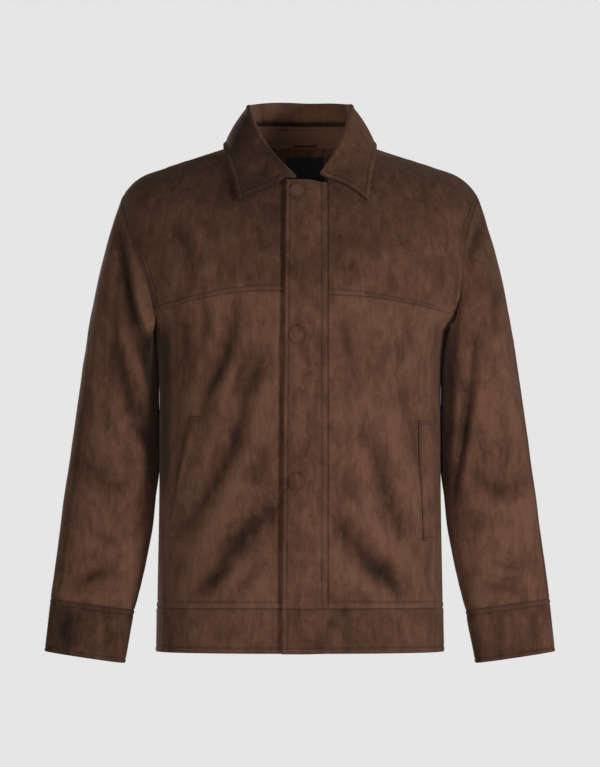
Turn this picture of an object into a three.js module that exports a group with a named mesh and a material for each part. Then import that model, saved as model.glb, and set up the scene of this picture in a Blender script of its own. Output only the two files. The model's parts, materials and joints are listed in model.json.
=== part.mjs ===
// A hip-length suede jacket, worn and filled out with nobody in it: hollow cloth walls that keep the form.
// Millimetres, +Z up. X is zero on the centre line and grows towards the wearer's left, -Y is the front.
// The origin is where the garment is held: on the centre line, level with the tops of the shoulders.
import * as THREE from "three";

// Driving sizes
const CLOTH = 2; // thickness of one layer of suede
const SEAM_GAP = 0.6; // clear width left at each sewn seam
const ARMPIT_Z = -250;
const WAIST_Z = -629; // seam between the panels and the hem band
const HEM_Z = -689;
const SHOULDER_Z = 18.5; // top of the shoulder at the neck
const SHOULDER_SLOPE = 0.325;
const SHOULDER_TIP = { x: 249.5, drop: 23.4, from: 198 }; // the last stretch falls away to the sleeve head
const RIDGE_Y = 8; // the shoulder's highest line lies a little behind the middle
const UPPER_GIRTH = { extra: 52, rise: 40, power: 1.3 }; // widening of the section above the armpit
const SQUARENESS = 2.4; // power of the superellipse of each level section
const ARC = 250; // length along the skin that stands for one radian above the armpit
const SHARED_DEPTH = 133; // section depth that front and back share along the shoulder line
const NECK = { half: 76, frontZ: -51, frontDepth: 95, backY: 66, hump: 50, dip: 18.5, power: 1.2 };
const SEAM_ANGLE = 70; // degrees round from the centre front to the side seam at the waist
const BACK_YOKE_Z = -146;
const BAND_FLARE = 0.6; // how far the band stands off the line of the panels
const UNDERLAP_X = 5; // the right front runs this far past the middle, beneath the placket
const PLACKET = { seamX: 37.3, top: -53.5, lift: 6.2, flat: 7, edgeTop: -19.4, edgeLow: -24.4 };
const BUTTON = { x: -5, radius: 8, thick: 2.8, highest: -70, pitch: 97.5, count: 7, clear: 0.4 };
const COLLAR = { standShare: 0.48, end: 6, rise: 58, reach: 60, lean: 13, bulge: 1.5, clear: 1.6 };
const COLLAR_DIP = { depth: 8.5, run: 150, width: 35 }; // lower over the sides of the neck, where it rests
const COLLAR_TALL = 64; // its height behind the neck
const ROLL = { end: 3.4, back: 4.8, rise: 1.15 }; // radius of the roll at the ends and behind the neck
const FACING = { rows: 3, skip: 6, off: 0.5 }; // steps of the back yoke's grid: its depth and its ends
const LABEL = { x: 7.5, half: 27.5, top: 7, height: 42, thick: 1.2, off: 1.5 };
const LOOP = { x: 8, half: 18, top: 15.5, height: 6, thick: 1.4, stand: 4, off: 2.3 };

// Half widths and depths of the body's level sections, from the hem up to the armpit
const BODY = [
  { at: -700, half: 199.5, front: 139, back: 116 },
  { at: -629, half: 198, front: 144, back: 119 },
  { at: -490, half: 195.3, front: 148, back: 122 },
  { at: -400, half: 195, front: 148, back: 120 },
  { at: -300, half: 196, front: 148, back: 118 },
  { at: -250, half: 203, front: 148, back: 118 },
];

// Armhole seam seen from the front, from the shoulder tip down: each front differs a little, as it hangs
const ARMHOLE = [
  { at: -225, right: 197, left: 213.5, back: 216 },
  { at: -195, right: 204.5, left: 219, back: 221 },
  { at: -155, right: 216.5, left: 222.5, back: 226.5 },
  { at: -115, right: 232.5, left: 228.5, back: 234 },
  { at: -85, right: 242.5, left: 239, back: 242 },
  { at: -60, right: 249.5, left: 249.5, back: 249.5 },
];
const ARMHOLE_SPREAD = { upper: 1.25, under: 1.7 }; // powers that set how its points spread along it
const ARMHOLE_LOW = { right: -228.5, left: -229.5, back: -222 }; // where the curve turns under the arm

// Height of the front yoke seam, out from the centre
const YOKE = [
  { at: -20, right: -206.4, left: -211.5 },
  { at: 50, right: -206.4, left: -212 },
  { at: 90, right: -208.4, left: -213.8 },
  { at: 130, right: -214.5, left: -218 },
  { at: 190, right: -227, left: -227.5 },
  { at: 215, right: -233, left: -232 },
];

// The shoulder seam lies in front of the ridge near the neck and meets it towards the sleeve
const SHOULDER_SEAM = [
  { at: 66, y: -66 },
  { at: 106, y: -50 },
  { at: 133, y: -31 },
  { at: 165, y: -10 },
  { at: 200, y: 4 },
  { at: 249.5, y: RIDGE_Y },
];
const NECK_SEAM_ANGLE = 60; // degrees round the neck, from the front, where that seam starts

// Sleeve sections: outer and inner points seen from the front, depths before and behind their middle in Y
const SLEEVE = [
  { at: 0, outerX: 258, outerZ: -82, innerX: 205.8, innerZ: -264, front: 95, back: 82, y: 2 },
  { at: 1, outerX: 267, outerZ: -113, innerX: 203.8, innerZ: -283, front: 93, back: 80, y: 1 },
  { at: 2, outerX: 276, outerZ: -155, innerX: 199.6, innerZ: -307, front: 88, back: 76, y: 0 },
  { at: 3, outerX: 286, outerZ: -205, innerX: 197.8, innerZ: -336, front: 81, back: 71, y: 0 },
  { at: 4, outerX: 295, outerZ: -255, innerX: 197.4, innerZ: -370, front: 73, back: 66, y: -1 },
  { at: 5, outerX: 304, outerZ: -313, innerX: 196.8, innerZ: -405, front: 65, back: 61, y: -2 },
  { at: 6, outerX: 312, outerZ: -370, innerX: 196.8, innerZ: -440, front: 59, back: 56, y: -4 },
  { at: 7, outerX: 319.5, outerZ: -425, innerX: 200, innerZ: -475, front: 53, back: 51, y: -6 },
  { at: 8, outerX: 327, outerZ: -480, innerX: 203.5, innerZ: -512, front: 47.5, back: 47, y: -9 },
  { at: 9, outerX: 334, outerZ: -537, innerX: 210.5, innerZ: -553, front: 42.5, back: 42.5, y: -12 },
  { at: 10, outerX: 341.5, outerZ: -592, innerX: 220, innerZ: -597, front: 38, back: 38, y: -16 },
  { at: 11, outerX: 344.5, outerZ: -616, innerX: 229, innerZ: -632, front: 35, back: 35, y: -18 },
];
const CUFF_END = { outerX: 352, outerZ: -688.5, innerX: 242, innerZ: -705, front: 31, back: 31, y: -22 };
const SLEEVE_SQUARENESS = 2.35;
const CAP_EASE = 3; // section by which the sleeve has left the armhole's shape
// The sleeve's outer seam: degrees in front of the outer line at the cap and below, and where it settles
const SLEEVE_SEAM = { cap: -25, elbow: 16, settled: 5 };

// Free edge of the collar leaf round the neck: degrees from the front, then its place
const LEAF_RIGHT = [
  { at: 4.5, x: 83, y: -107, z: -94 },
  { at: 28, x: 92, y: -90, z: -53 },
  { at: 50, x: 103, y: -58, z: -19 },
  { at: 72, x: 107.5, y: -20, z: 5 },
  { at: 90, x: 108.5, y: 8, z: 12 },
  { at: 112, x: 103, y: 36, z: 13 },
  { at: 135, x: 84, y: 60, z: 13 },
  { at: 158, x: 45, y: 75, z: 14 },
  { at: 180, x: 0, y: 79, z: 14 },
];
const LEAF_LEFT = [
  { at: 20.8, x: 92, y: -104, z: -92 },
  { at: 38, x: 98, y: -86, z: -56 },
  { at: 56, x: 104, y: -58, z: -23 },
  { at: 74, x: 107.5, y: -20, z: 4 },
  ...LEAF_RIGHT.slice(4),
];

// Folds as soft troughs (depth below zero: ridges) along lines seen from the front, X then Z
const FRONT_FOLDS = [
  { line: [[-128, -221], [-128, -257], [-131, -273]], depth: 2.5, width: 8 },
  { line: [[-88, -222], [-90, -253], [-109, -310], [-122, -335], [-131, -363]], depth: 5, width: 12 },
  { line: [[-49, -294], [-74, -345], [-86, -396], [-115, -457], [-155, -522]], depth: 5.5, width: 13 },
  { line: [[-67, -277], [-86, -326], [-96, -354]], depth: 2.5, width: 8 },
  { line: [[-29, -489], [-75, -528], [-102, -560], [-126, -604]], depth: 6, width: 18 },
  { line: [[-94, -573], [-145, -608]], depth: 3.5, width: 11 },
  { line: [[-59, -575], [-94, -613]], depth: 3.5, width: 11 },
  { line: [[-170, -112], [-152, -151], [-144, -185]], depth: 3, width: 12 },
  { line: [[86, -388], [105, -424], [117, -477], [139, -538]], depth: 4.5, width: 15 },
  { line: [[51, -497], [70, -539], [135, -604]], depth: 5, width: 16 },
  { line: [[86, -567], [132, -601]], depth: 3.5, width: 12 },
  { line: [[136, -323], [164, -446]], depth: 3, width: 14 },
];
const BACK_FOLDS = [
  { line: [[-118, -226], [-112, -290], [-128, -366]], depth: 4, width: 17 },
  { line: [[124, -232], [113, -318], [121, -402]], depth: 4, width: 17 },
  { line: [[-42, -470], [-84, -540], [-128, -604]], depth: 5, width: 19 },
  { line: [[36, -500], [88, -556], [120, -606]], depth: 4.5, width: 18 },
  { line: [[-160, -430], [-120, -520]], depth: 3.5, width: 15 },
];
const SLEEVE_FOLDS = [
  { line: [[-248, -94], [-244, -180], [-231, -232], [-210, -284]], depth: 5, width: 12 },
  { line: [[-252, -178], [-250, -273], [-237, -327], [-218, -385], [-204, -412]], depth: 5, width: 13 },
  { line: [[-231, -161], [-217, -221]], depth: -3, width: 11 },
  { line: [[-235, -399], [-235, -447]], depth: 2.5, width: 14 },
  { line: [[-247, -583], [-280, -583], [-308, -604]], depth: 4, width: 9 },
  { line: [[-300, -420], [-270, -452], [-240, -470]], depth: 3, width: 14 },
  { line: [[243, -78], [255, -95], [231, -139], [222, -167]], depth: 5, width: 11 },
  { line: [[262, -205], [252, -290], [240, -360], [244, -433]], depth: 4, width: 14 },
  { line: [[261, -598], [288, -604], [315, -611]], depth: 4, width: 9 },
  { line: [[248, -452], [275, -470], [305, -458]], depth: 3, width: 14 },
];
const FOLD_END = 0.35; // share of a fold's depth that is left at its ends
const FOLD_FACING = { body: 2, sleeve: 1.6 }; // folds fade where the cloth turns away from front and back
const UNCREASED = 2; // rings at each end of a sleeve over which its folds fade

// Grid counts of the pieces
const YOKE_ROWS = 7;
const YOKE_NECK_COLUMNS = 5;
const FRONT_COLUMNS = 12;
const FRONT_SIDE_ROWS = 15;
const UNDERARM_ROWS = 4;
const BACK_COLUMNS = 18;
const BACK_YOKE_STEPS = 5; // steps of the armhole that the back yoke takes
const SLEEVE_ROWS = 16;
const COLLAR_COLUMNS = 34;
const PLACKET_ROWS = 24;

const SUEDE = new THREE.MeshStandardMaterial({ color: 0x5b4236, roughness: 0.95, metalness: 0 });
const SUEDE_INSIDE = new THREE.MeshStandardMaterial({ color: 0x4a352a, roughness: 0.97, metalness: 0 });
const WOVEN_BLACK = new THREE.MeshStandardMaterial({ color: 0x0c1013, roughness: 0.8, metalness: 0 });
const HORN = new THREE.MeshStandardMaterial({ color: 0x2e211a, roughness: 0.45, metalness: 0 });

const SIDES = { right: -1, left: 1 };
const RADIANS = Math.PI / 180;
const mix = (a, b, t) => a + (b - a) * t;
const clamp = (x, low, high) => Math.min(high, Math.max(low, x));
const smooth = (t) => clamp(t, 0, 1) ** 2 * (3 - 2 * clamp(t, 0, 1));
const steps = (count) => Array.from({ length: count + 1 }, (_, i) => i / count);
const between = (from, to, count) => steps(count).map((t) => mix(from, to, t));

// One column of a table at a value of its first column, along a smooth curve through the rows
function lookup(table, key, at) {
  const last = table.length - 2;
  const found = table.findIndex((row) => row.at > at);
  const i = found < 0 ? last : clamp(found - 1, 0, last);
  const [a, b] = [table[i], table[i + 1]];
  const [before, after] = [table[i - 1] ?? a, table[i + 2] ?? b];
  const span = b.at - a.at;
  const t = clamp((at - a.at) / span, 0, 1);
  const slopeA = ((b[key] - before[key]) / (b.at - before.at)) * span;
  const slopeB = ((after[key] - a[key]) / (after.at - a.at)) * span;
  const t2 = t * t;
  const t3 = t2 * t;
  return (
    (2 * t3 - 3 * t2 + 1) * a[key] + (t3 - 2 * t2 + t) * slopeA +
    (3 * t2 - 2 * t3) * b[key] + (t3 - t2) * slopeB
  );
}

// Depth of the folds at a point seen from the front: each is a soft trough that fades at its ends
function foldDepth(folds, x, z) {
  let total = 0;
  for (const { line, depth, width } of folds) {
    let nearest = Infinity;
    let along = 0;
    line.slice(1).forEach(([bx, bz], i) => {
      const [ax, az] = line[i];
      const length2 = (bx - ax) ** 2 + (bz - az) ** 2;
      const t = clamp(((x - ax) * (bx - ax) + (z - az) * (bz - az)) / length2, 0, 1);
      const distance = Math.hypot(x - mix(ax, bx, t), z - mix(az, bz, t));
      if (distance < nearest) {
        nearest = distance;
        along = (i + t) / (line.length - 1);
      }
    });
    const fade = mix(FOLD_END, 1, Math.sin(Math.PI * along));
    total += depth * fade * Math.exp(-((nearest / width) ** 2));
  }
  return total;
}

// Height of the shoulder line over X; inside the neck it is a free continuation of the front or the back
function shoulderZ(x, face) {
  const out = Math.abs(x);
  if (out < NECK.half) {
    const bump = (1 - (out / NECK.half) ** 2) ** NECK.power;
    return SHOULDER_Z + (face > 0 ? NECK.hump : -NECK.dip) * bump;
  }
  const tip = Math.max(0, (out - SHOULDER_TIP.from) / (SHOULDER_TIP.x - SHOULDER_TIP.from));
  return SHOULDER_Z - SHOULDER_SLOPE * (out - NECK.half) - SHOULDER_TIP.drop * tip ** 3.2;
}

// Half width of the level section that a share of the rise above the armpit belongs to
function upperHalf(share) {
  const { extra, rise, power } = UPPER_GIRTH;
  const grown = 1 - Math.exp(-(((ARC * Math.max(share, 0)) / rise) ** power));
  return lookup(BODY, "half", ARMPIT_Z) + extra * grown;
}

const radius = (angle, half, depth) =>
  ((Math.abs(Math.sin(angle)) / half) ** SQUARENESS + (Math.abs(Math.cos(angle)) / depth) ** SQUARENESS) **
  (-1 / SQUARENESS);
const depthAt = (x, half, depth) =>
  depth * Math.max(0, 1 - Math.min(1, Math.abs(x) / half) ** SQUARENESS) ** (1 / SQUARENESS);

// The body's skin. face is -1 for the front and 1 for the back. angle goes round from that face's middle,
// towards +X. m is the way up: millimetres below the armpit, and above it along the arc over the shoulder.
function smoothSkin(face, angle, m) {
  const own = face > 0 ? "back" : "front";
  const other = face > 0 ? "front" : "back";
  if (m <= 0) {
    const z = ARMPIT_Z + m;
    const depth = lookup(BODY, Math.cos(angle) >= 0 ? own : other, z);
    const r = radius(angle, lookup(BODY, "half", z), depth);
    return new THREE.Vector3(r * Math.sin(angle), face * r * Math.cos(angle), z);
  }
  const share = Math.sin(m / ARC);
  const forward = Math.cos(m / ARC);
  const side = forward >= 0 ? face : -face;
  const depth = lookup(BODY, side > 0 ? "back" : "front", ARMPIT_Z);
  const half = upperHalf(share);
  const x = radius(angle, half, mix(depth, SHARED_DEPTH, share)) * Math.sin(angle);
  const y = RIDGE_Y + (side * depthAt(x, half, depth) - RIDGE_Y) * Math.abs(forward);
  return new THREE.Vector3(x, y, ARMPIT_Z + (shoulderZ(x, side) - ARMPIT_Z) * share);
}

// Outward normal of a surface of two parameters, from its slopes
function normalOf(surface, a, m, stepA, stepM, outward) {
  const across = surface(a + stepA, m).sub(surface(a - stepA, m));
  const up = surface(a, m + stepM).sub(surface(a, m - stepM));
  const n = across.cross(up).normalize();
  return n.dot(outward) < 0 ? n.negate() : n;
}

// Direction away from the inside of the body, rough but never wrong by a right angle
const awayFrom = (p) =>
  new THREE.Vector3(p.x / 200, (p.y - RIDGE_Y) / 140, Math.max(0, p.z - ARMPIT_Z) / 200).normalize();

const smoothNormal = (face, angle, m) =>
  normalOf((a, b) => smoothSkin(face, a, b), angle, m, 0.004, 1, awayFrom(smoothSkin(face, angle, m)));

// The skin with its folds, raised by a lift that may change over X
function skin(face, angle, m, lift = () => 0) {
  const p = smoothSkin(face, angle, m);
  const n = smoothNormal(face, angle, m);
  const folds = p.y < 0 ? FRONT_FOLDS : BACK_FOLDS;
  const facing = smooth(Math.abs(n.y) * FOLD_FACING.body);
  return p.addScaledVector(n, lift(p.x) - foldDepth(folds, p.x, p.z) * facing);
}

const skinNormal = (face, angle, m, lift) =>
  normalOf((a, b) => skin(face, a, b, lift), angle, m, 0.008, 2, smoothNormal(face, angle, m));

// Skin coordinates of a point of one face, from X and Z, or from X and Y near the shoulder
function coordinates(face, x, z) {
  const depth = face > 0 ? "back" : "front";
  if (z <= ARMPIT_Z) {
    const d = depthAt(x, lookup(BODY, "half", z), lookup(BODY, depth, z));
    return [Math.atan2(x, d), z - ARMPIT_Z];
  }
  const share = Math.min(1, (z - ARMPIT_Z) / (shoulderZ(x, face) - ARMPIT_Z));
  return [angleAt(x, share, lookup(BODY, depth, ARMPIT_Z)), ARC * Math.asin(share)];
}
const angleAt = (x, share, depth) =>
  Math.atan2(x, depthAt(x, upperHalf(share), mix(depth, SHARED_DEPTH, share)));

function coordinatesFromY(face, x, y) {
  const depth = lookup(BODY, face > 0 ? "back" : "front", ARMPIT_Z);
  let share = 1;
  for (let i = 0; i < 6; i += 1) {
    const reach = face * depthAt(x, upperHalf(share), depth) - RIDGE_Y;
    share = Math.sqrt(1 - clamp((y - RIDGE_Y) / reach, 0, 1) ** 2);
  }
  return [angleAt(x, share, depth), ARC * Math.asin(share)];
}

// The same place in the coordinates of the other face, past the shoulder's ridge
const overTheRidge = ([angle, m]) => [angle, ARC * Math.PI - m];

// Neck seam: degrees round from the front, towards the side's sign
function neckCoordinates(side, degrees) {
  const x = side * NECK.half * Math.sin(degrees * RADIANS);
  if (degrees <= 90) {
    const z = mix(NECK.frontZ, SHOULDER_Z, 1 - Math.cos(degrees * RADIANS));
    return { face: -1, at: coordinates(-1, x, z) };
  }
  const y = RIDGE_Y + (NECK.backY - RIDGE_Y) * Math.abs(Math.cos(degrees * RADIANS));
  return { face: 1, at: coordinatesFromY(1, x, y) };
}

// Armhole seam of one face as skin coordinates, from the shoulder tip down to the armpit
function armhole(side, face) {
  const key = face > 0 ? "back" : side > 0 ? "left" : "right";
  const low = coordinates(face, lookup(ARMHOLE, key, ARMHOLE_LOW[key]), ARMHOLE_LOW[key])[1];
  const upper = steps(YOKE_ROWS).map((t, i) => {
    const m = mix(low, (ARC * Math.PI) / 2, (1 - t) ** ARMHOLE_SPREAD.upper);
    if (i === 0) return [side * angleAt(SHOULDER_TIP.x, 1, SHARED_DEPTH), m];
    let x = SHOULDER_TIP.x;
    let z = 0;
    for (let k = 0; k < 8; k += 1) {
      z = mix(ARMPIT_Z, shoulderZ(x, face), Math.sin(m / ARC));
      x = lookup(ARMHOLE, key, z);
    }
    return coordinates(face, side * x, z);
  });
  const [angle, m] = upper[YOKE_ROWS];
  const under = steps(UNDERARM_ROWS).slice(1).map((t) => [
    mix(angle, side * Math.PI / 2, t),
    m * (1 - t) ** ARMHOLE_SPREAD.under,
  ]);
  return [...upper, ...under];
}

// Side seam below the armpit, downwards: it eases round to the front on its way to the waist
const sideSeam = (side, face) =>
  steps(FRONT_SIDE_ROWS).map((t) => {
    const turned = (90 - SEAM_ANGLE) * smooth(t);
    return [side * (90 + face * turned) * RADIANS, mix(0, WAIST_Z - ARMPIT_Z, t)];
  });

// Grid of skin coordinates between four edges: a blend of the edges that meets each of them
function blend(low, high, start, end) {
  const rows = start.length - 1;
  const columns = low.length - 1;
  return start.map((_, i) =>
    low.map((_, j) => {
      const [u, v] = [j / columns, i / rows];
      return [0, 1].map(
        (k) =>
          mix(low[j][k], high[j][k], v) + mix(start[i][k], end[i][k], u) -
          mix(mix(low[0][k], low[columns][k], u), mix(high[0][k], high[columns][k], u), v),
      );
    }),
  );
}

// Draws a grid's edges in by half a seam's gap, towards their neighbours in the grid
function drawIn(grid, gap = SEAM_GAP / 2) {
  const [rows, columns] = [grid.length - 1, grid[0].length - 1];
  const pull = (p, towards) => towards.clone().sub(p).setLength(gap);
  return grid.map((row, i) =>
    row.map((p, j) => {
      const moved = p.clone();
      if (i === 0 || i === rows) moved.add(pull(p, grid[i === 0 ? 1 : rows - 1][j]));
      if (j === 0 || j === columns) moved.add(pull(p, row[j === 0 ? 1 : columns - 1]));
      return moved;
    }),
  );
}

// Closed wall between an outer grid and the inner grid behind it. A tube joins its last column to its first.
function wall(outer, inner, tube = false) {
  const [rows, columns] = [outer.length, outer[0].length];
  const points = [...outer.flat(), ...inner.flat()];
  const at = (i, j, layer) => layer * rows * columns + i * columns + (j % columns);
  const index = [];
  const quad = (a, b, c, d) => index.push(a, b, c, a, c, d);
  const cells = tube ? columns : columns - 1;
  for (let i = 0; i < rows - 1; i += 1)
    for (let j = 0; j < cells; j += 1) {
      const [a, b, c, d] = [[i, j], [i, j + 1], [i + 1, j + 1], [i + 1, j]];
      const turn = outer[a[0]][a[1]].distanceTo(outer[c[0]][c[1] % columns]) >
        outer[b[0]][b[1] % columns].distanceTo(outer[d[0]][d[1]]);
      const [p, q, r, s] = turn ? [b, c, d, a] : [a, b, c, d];
      quad(at(...p, 0), at(...q, 0), at(...r, 0), at(...s, 0));
      const [w, x, y, z] = turn ? [b, a, d, c] : [a, d, c, b];
      quad(at(...w, 1), at(...x, 1), at(...y, 1), at(...z, 1));
    }
  for (let j = 0; j < cells; j += 1) {
    quad(at(0, j, 0), at(0, j, 1), at(0, j + 1, 1), at(0, j + 1, 0));
    quad(at(rows - 1, j + 1, 0), at(rows - 1, j + 1, 1), at(rows - 1, j, 1), at(rows - 1, j, 0));
  }
  if (!tube)
    for (let i = 0; i < rows - 1; i += 1) {
      quad(at(i + 1, 0, 0), at(i + 1, 0, 1), at(i, 0, 1), at(i, 0, 0));
      const j = columns - 1;
      quad(at(i, j, 0), at(i, j, 1), at(i + 1, j, 1), at(i + 1, j, 0));
    }
  let volume = 0;
  for (let k = 0; k < index.length; k += 3) {
    const [a, b, c] = [points[index[k]], points[index[k + 1]], points[index[k + 2]]];
    volume += a.dot(b.clone().cross(c));
  }
  if (volume < 0) index.reverse();
  const geometry = new THREE.BufferGeometry().setFromPoints(points);
  geometry.setIndex(index);
  geometry.computeVertexNormals();
  return geometry;
}

const jacket = new THREE.Group();
function add(name, geometry, material = SUEDE) {
  const mesh = new THREE.Mesh(geometry, material);
  mesh.name = name;
  jacket.add(mesh);
  return mesh;
}

// A panel of the body: a grid of skin coordinates made into a wall, some way off the skin
function panel(name, face, grid, options = {}) {
  const { lift = () => 0, thick = CLOTH, material = SUEDE, gap = SEAM_GAP / 2 } = options;
  const outer = drawIn(grid.map((row) => row.map(([a, m]) => skin(face, a, m, lift))), gap);
  const inner = outer.map((row, i) =>
    row.map((p, j) => p.clone().addScaledVector(skinNormal(face, ...grid[i][j], lift), -thick)),
  );
  return add(name, wall(outer, inner), material);
}

const placketLift = (x) => PLACKET.lift * smooth((PLACKET.seamX - x) / (PLACKET.seamX - PLACKET.flat));
const frontCorner = { right: UNDERLAP_X, left: PLACKET.seamX };
const yokeZ = (key, x) => lookup(YOKE, key, Math.abs(x));
const onFront = (x, z) => coordinates(-1, x, z);

function yokeSeam(key, columns) {
  const end = armhole(SIDES[key], -1)[YOKE_ROWS];
  const endX = SIDES[key] * lookup(ARMHOLE, key, ARMHOLE_LOW[key]);
  return between(frontCorner[key], endX, columns).map((x, j) =>
    j === columns ? end : onFront(x, yokeZ(key, x)),
  );
}

// Shoulder seam from the neck out to the tip, in the front's coordinates
function shoulderSeam(side, columns) {
  const [start] = SHOULDER_SEAM;
  return between(start.at, SHOULDER_TIP.x, columns).map((x, j) => {
    if (j === 0) return neckCoordinates(side, NECK_SEAM_ANGLE).at;
    if (j === columns) return armhole(side, -1)[0];
    return coordinatesFromY(-1, side * x, lookup(SHOULDER_SEAM, "y", x));
  });
}

function makeFrontYoke(key) {
  const side = SIDES[key];
  const cornerX = frontCorner[key];
  const start = side * Math.asin(cornerX / NECK.half) / RADIANS;
  const neck = between(start, NECK_SEAM_ANGLE, YOKE_NECK_COLUMNS).map((degrees) =>
    degrees < 0 ? onFront(cornerX, neckFrontZ(degrees)) : neckCoordinates(side, degrees).at,
  );
  const top = [...neck, ...shoulderSeam(side, FRONT_COLUMNS - YOKE_NECK_COLUMNS).slice(1)];
  const low = yokeSeam(key, FRONT_COLUMNS);
  const centre = between(yokeZ(key, cornerX), neckFrontZ(start), YOKE_ROWS).map((z) => onFront(cornerX, z));
  const sleeveEdge = armhole(side, -1).slice(0, YOKE_ROWS + 1).reverse();
  panel(`front_yoke_${key}`, -1, blend(low, top, centre, sleeveEdge));
}
const neckFrontZ = (degrees) => mix(NECK.frontZ, SHOULDER_Z, 1 - Math.cos(degrees * RADIANS));

function makeFrontPanel(key) {
  const side = SIDES[key];
  const outerEdge = [
    ...sideSeam(side, -1).reverse(),
    ...armhole(side, -1).slice(YOKE_ROWS, -1).reverse(),
  ];
  const cornerX = frontCorner[key];
  const rows = FRONT_SIDE_ROWS + UNDERARM_ROWS;
  const centre = between(WAIST_Z, yokeZ(key, cornerX), rows).map((z) => onFront(cornerX, z));
  const waistEnd = outerEdge[0][0];
  const waist = between(centre[0][0], waistEnd, FRONT_COLUMNS).map((a) => [a, WAIST_Z - ARMPIT_Z]);
  panel(`front_panel_${key}`, -1, blend(waist, yokeSeam(key, FRONT_COLUMNS), centre, outerEdge));
}

// Back yoke: columns run out from the neck seam to the armholes and the yoke seam
const backYokeSeam = () => {
  const end = armhole(1, 1)[BACK_YOKE_STEPS];
  const x = smoothSkin(1, ...end).x;
  return between(-x, x, BACK_COLUMNS).map((at, j) =>
    j === 0 ? [-end[0], end[1]] : j === BACK_COLUMNS ? end : coordinates(1, at, BACK_YOKE_Z),
  );
};
function backYokeGrid() {
  const rows = FRONT_COLUMNS - YOKE_NECK_COLUMNS;
  const columns = BACK_COLUMNS + 2 * BACK_YOKE_STEPS;
  const neck = between(NECK_SEAM_ANGLE, 360 - NECK_SEAM_ANGLE, columns).map((turn) => {
    const { face, at } = neckCoordinates(turn <= 180 ? -1 : 1, turn <= 180 ? turn : 360 - turn);
    return face > 0 ? at : overTheRidge(at);
  });
  const outside = [
    ...armhole(-1, 1).slice(0, BACK_YOKE_STEPS),
    ...backYokeSeam(),
    ...armhole(1, 1).slice(0, BACK_YOKE_STEPS).reverse(),
  ];
  const [start, end] = [-1, 1].map((side) => shoulderSeam(side, rows).map(overTheRidge));
  return blend(neck, outside, start, end);
}

function makeBack() {
  panel("back_yoke", 1, backYokeGrid());
  const [start, end] = [-1, 1].map((side) =>
    [...armhole(side, 1).slice(BACK_YOKE_STEPS), ...sideSeam(side, 1).slice(1)].reverse(),
  );
  const low = between(start[0][0], end[0][0], BACK_COLUMNS).map((a) => [a, WAIST_Z - ARMPIT_Z]);
  panel("back_panel", 1, blend(low, backYokeSeam(), start, end));
}

// Hem band in three pieces, below the waist seam
function makeHemBand() {
  const rows = 3;
  const band = (name, face, from, to, columns, options) => {
    const grid = between(HEM_Z, WAIST_Z, rows).map((z) =>
      between(from(z), to(z), columns).map((a) => [a, z - ARMPIT_Z]),
    );
    panel(name, face, grid, options);
  };
  const seam = (side, face) => () => side * (90 + face * (90 - SEAM_ANGLE)) * RADIANS;
  const lap = () => onFront(UNDERLAP_X, WAIST_Z)[0];
  const free = (z) => onFront(placketEdge(z), z)[0];
  const flare = () => BAND_FLARE;
  band("hem_band_right", -1, seam(-1, -1), lap, 10, { lift: flare });
  band("hem_band_left", -1, free, seam(1, -1), 14, { lift: (x) => flare() + placketLift(x) });
  band("hem_band_back", 1, seam(-1, 1), seam(1, 1), 20, { lift: flare });
}

// Free edge of the placket, which leans a little on its way down
const placketEdge = (z) =>
  mix(PLACKET.edgeTop, PLACKET.edgeLow, clamp((PLACKET.top - z) / (PLACKET.top - HEM_Z), 0, 1) ** 1.3);

function makePlacket() {
  const grid = between(WAIST_Z, PLACKET.top, PLACKET_ROWS).map((z) =>
    between(placketEdge(z), PLACKET.seamX, 5).map((x) => onFront(x, z)),
  );
  panel("placket", -1, grid, { lift: placketLift });
}

// Buttons on the underlap, closed beneath the placket
function makeButtons() {
  for (let i = 0; i < BUTTON.count; i += 1) {
    const at = onFront(BUTTON.x, BUTTON.highest - BUTTON.pitch * i);
    const centre = skin(-1, ...at);
    const n = skinNormal(-1, ...at);
    const geometry = new THREE.CylinderGeometry(BUTTON.radius, BUTTON.radius, BUTTON.thick, 14);
    const mesh = add(`button_${i + 1}`, geometry, HORN);
    mesh.quaternion.setFromUnitVectors(new THREE.Vector3(0, 1, 0), n);
    const off = BUTTON.thick / 2 + BUTTON.clear + (centre.z < WAIST_Z ? BAND_FLARE : 0);
    mesh.position.copy(centre).addScaledVector(n, off);
  }
}

// Slanted pocket welts: strips that lie on the front panels, by their corners' X and Z
const WELTS = {
  right: { top: [[-148, -371], [-130, -372]], low: [[-179, -536], [-162.5, -537]] },
  left: { top: [[159, -376], [176.5, -375]], low: [[165.5, -538], [183, -537]] },
};
const WELT_CLEAR = 0.7;
function makeWelt(key) {
  const rows = 9;
  const { top, low } = WELTS[key];
  const grid = steps(rows).map((t) =>
    steps(2).map((u) => {
      const x = mix(mix(low[0][0], top[0][0], t), mix(low[1][0], top[1][0], t), u);
      return onFront(x, mix(mix(low[0][1], top[0][1], t), mix(low[1][1], top[1][1], t), u));
    }),
  );
  panel(`pocket_welt_${key}`, -1, grid, { lift: () => CLOTH + WELT_CLEAR, gap: 0 });
}

// One section of a sleeve: points from the outer line, forwards for a positive angle
function sleevePoint(side, row, degrees) {
  const angle = degrees * RADIANS;
  const power = 2 / SLEEVE_SQUARENESS;
  const across = Math.sign(Math.cos(angle)) * Math.abs(Math.cos(angle)) ** power;
  const front = Math.sign(Math.sin(angle)) * Math.abs(Math.sin(angle)) ** power;
  const x = mix((row.outerX + row.innerX) / 2, row.outerX, across);
  const z = mix((row.outerZ + row.innerZ) / 2, row.outerZ, across);
  return new THREE.Vector3(side * x, row.y - (front > 0 ? row.front : row.back) * front, z);
}

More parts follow.
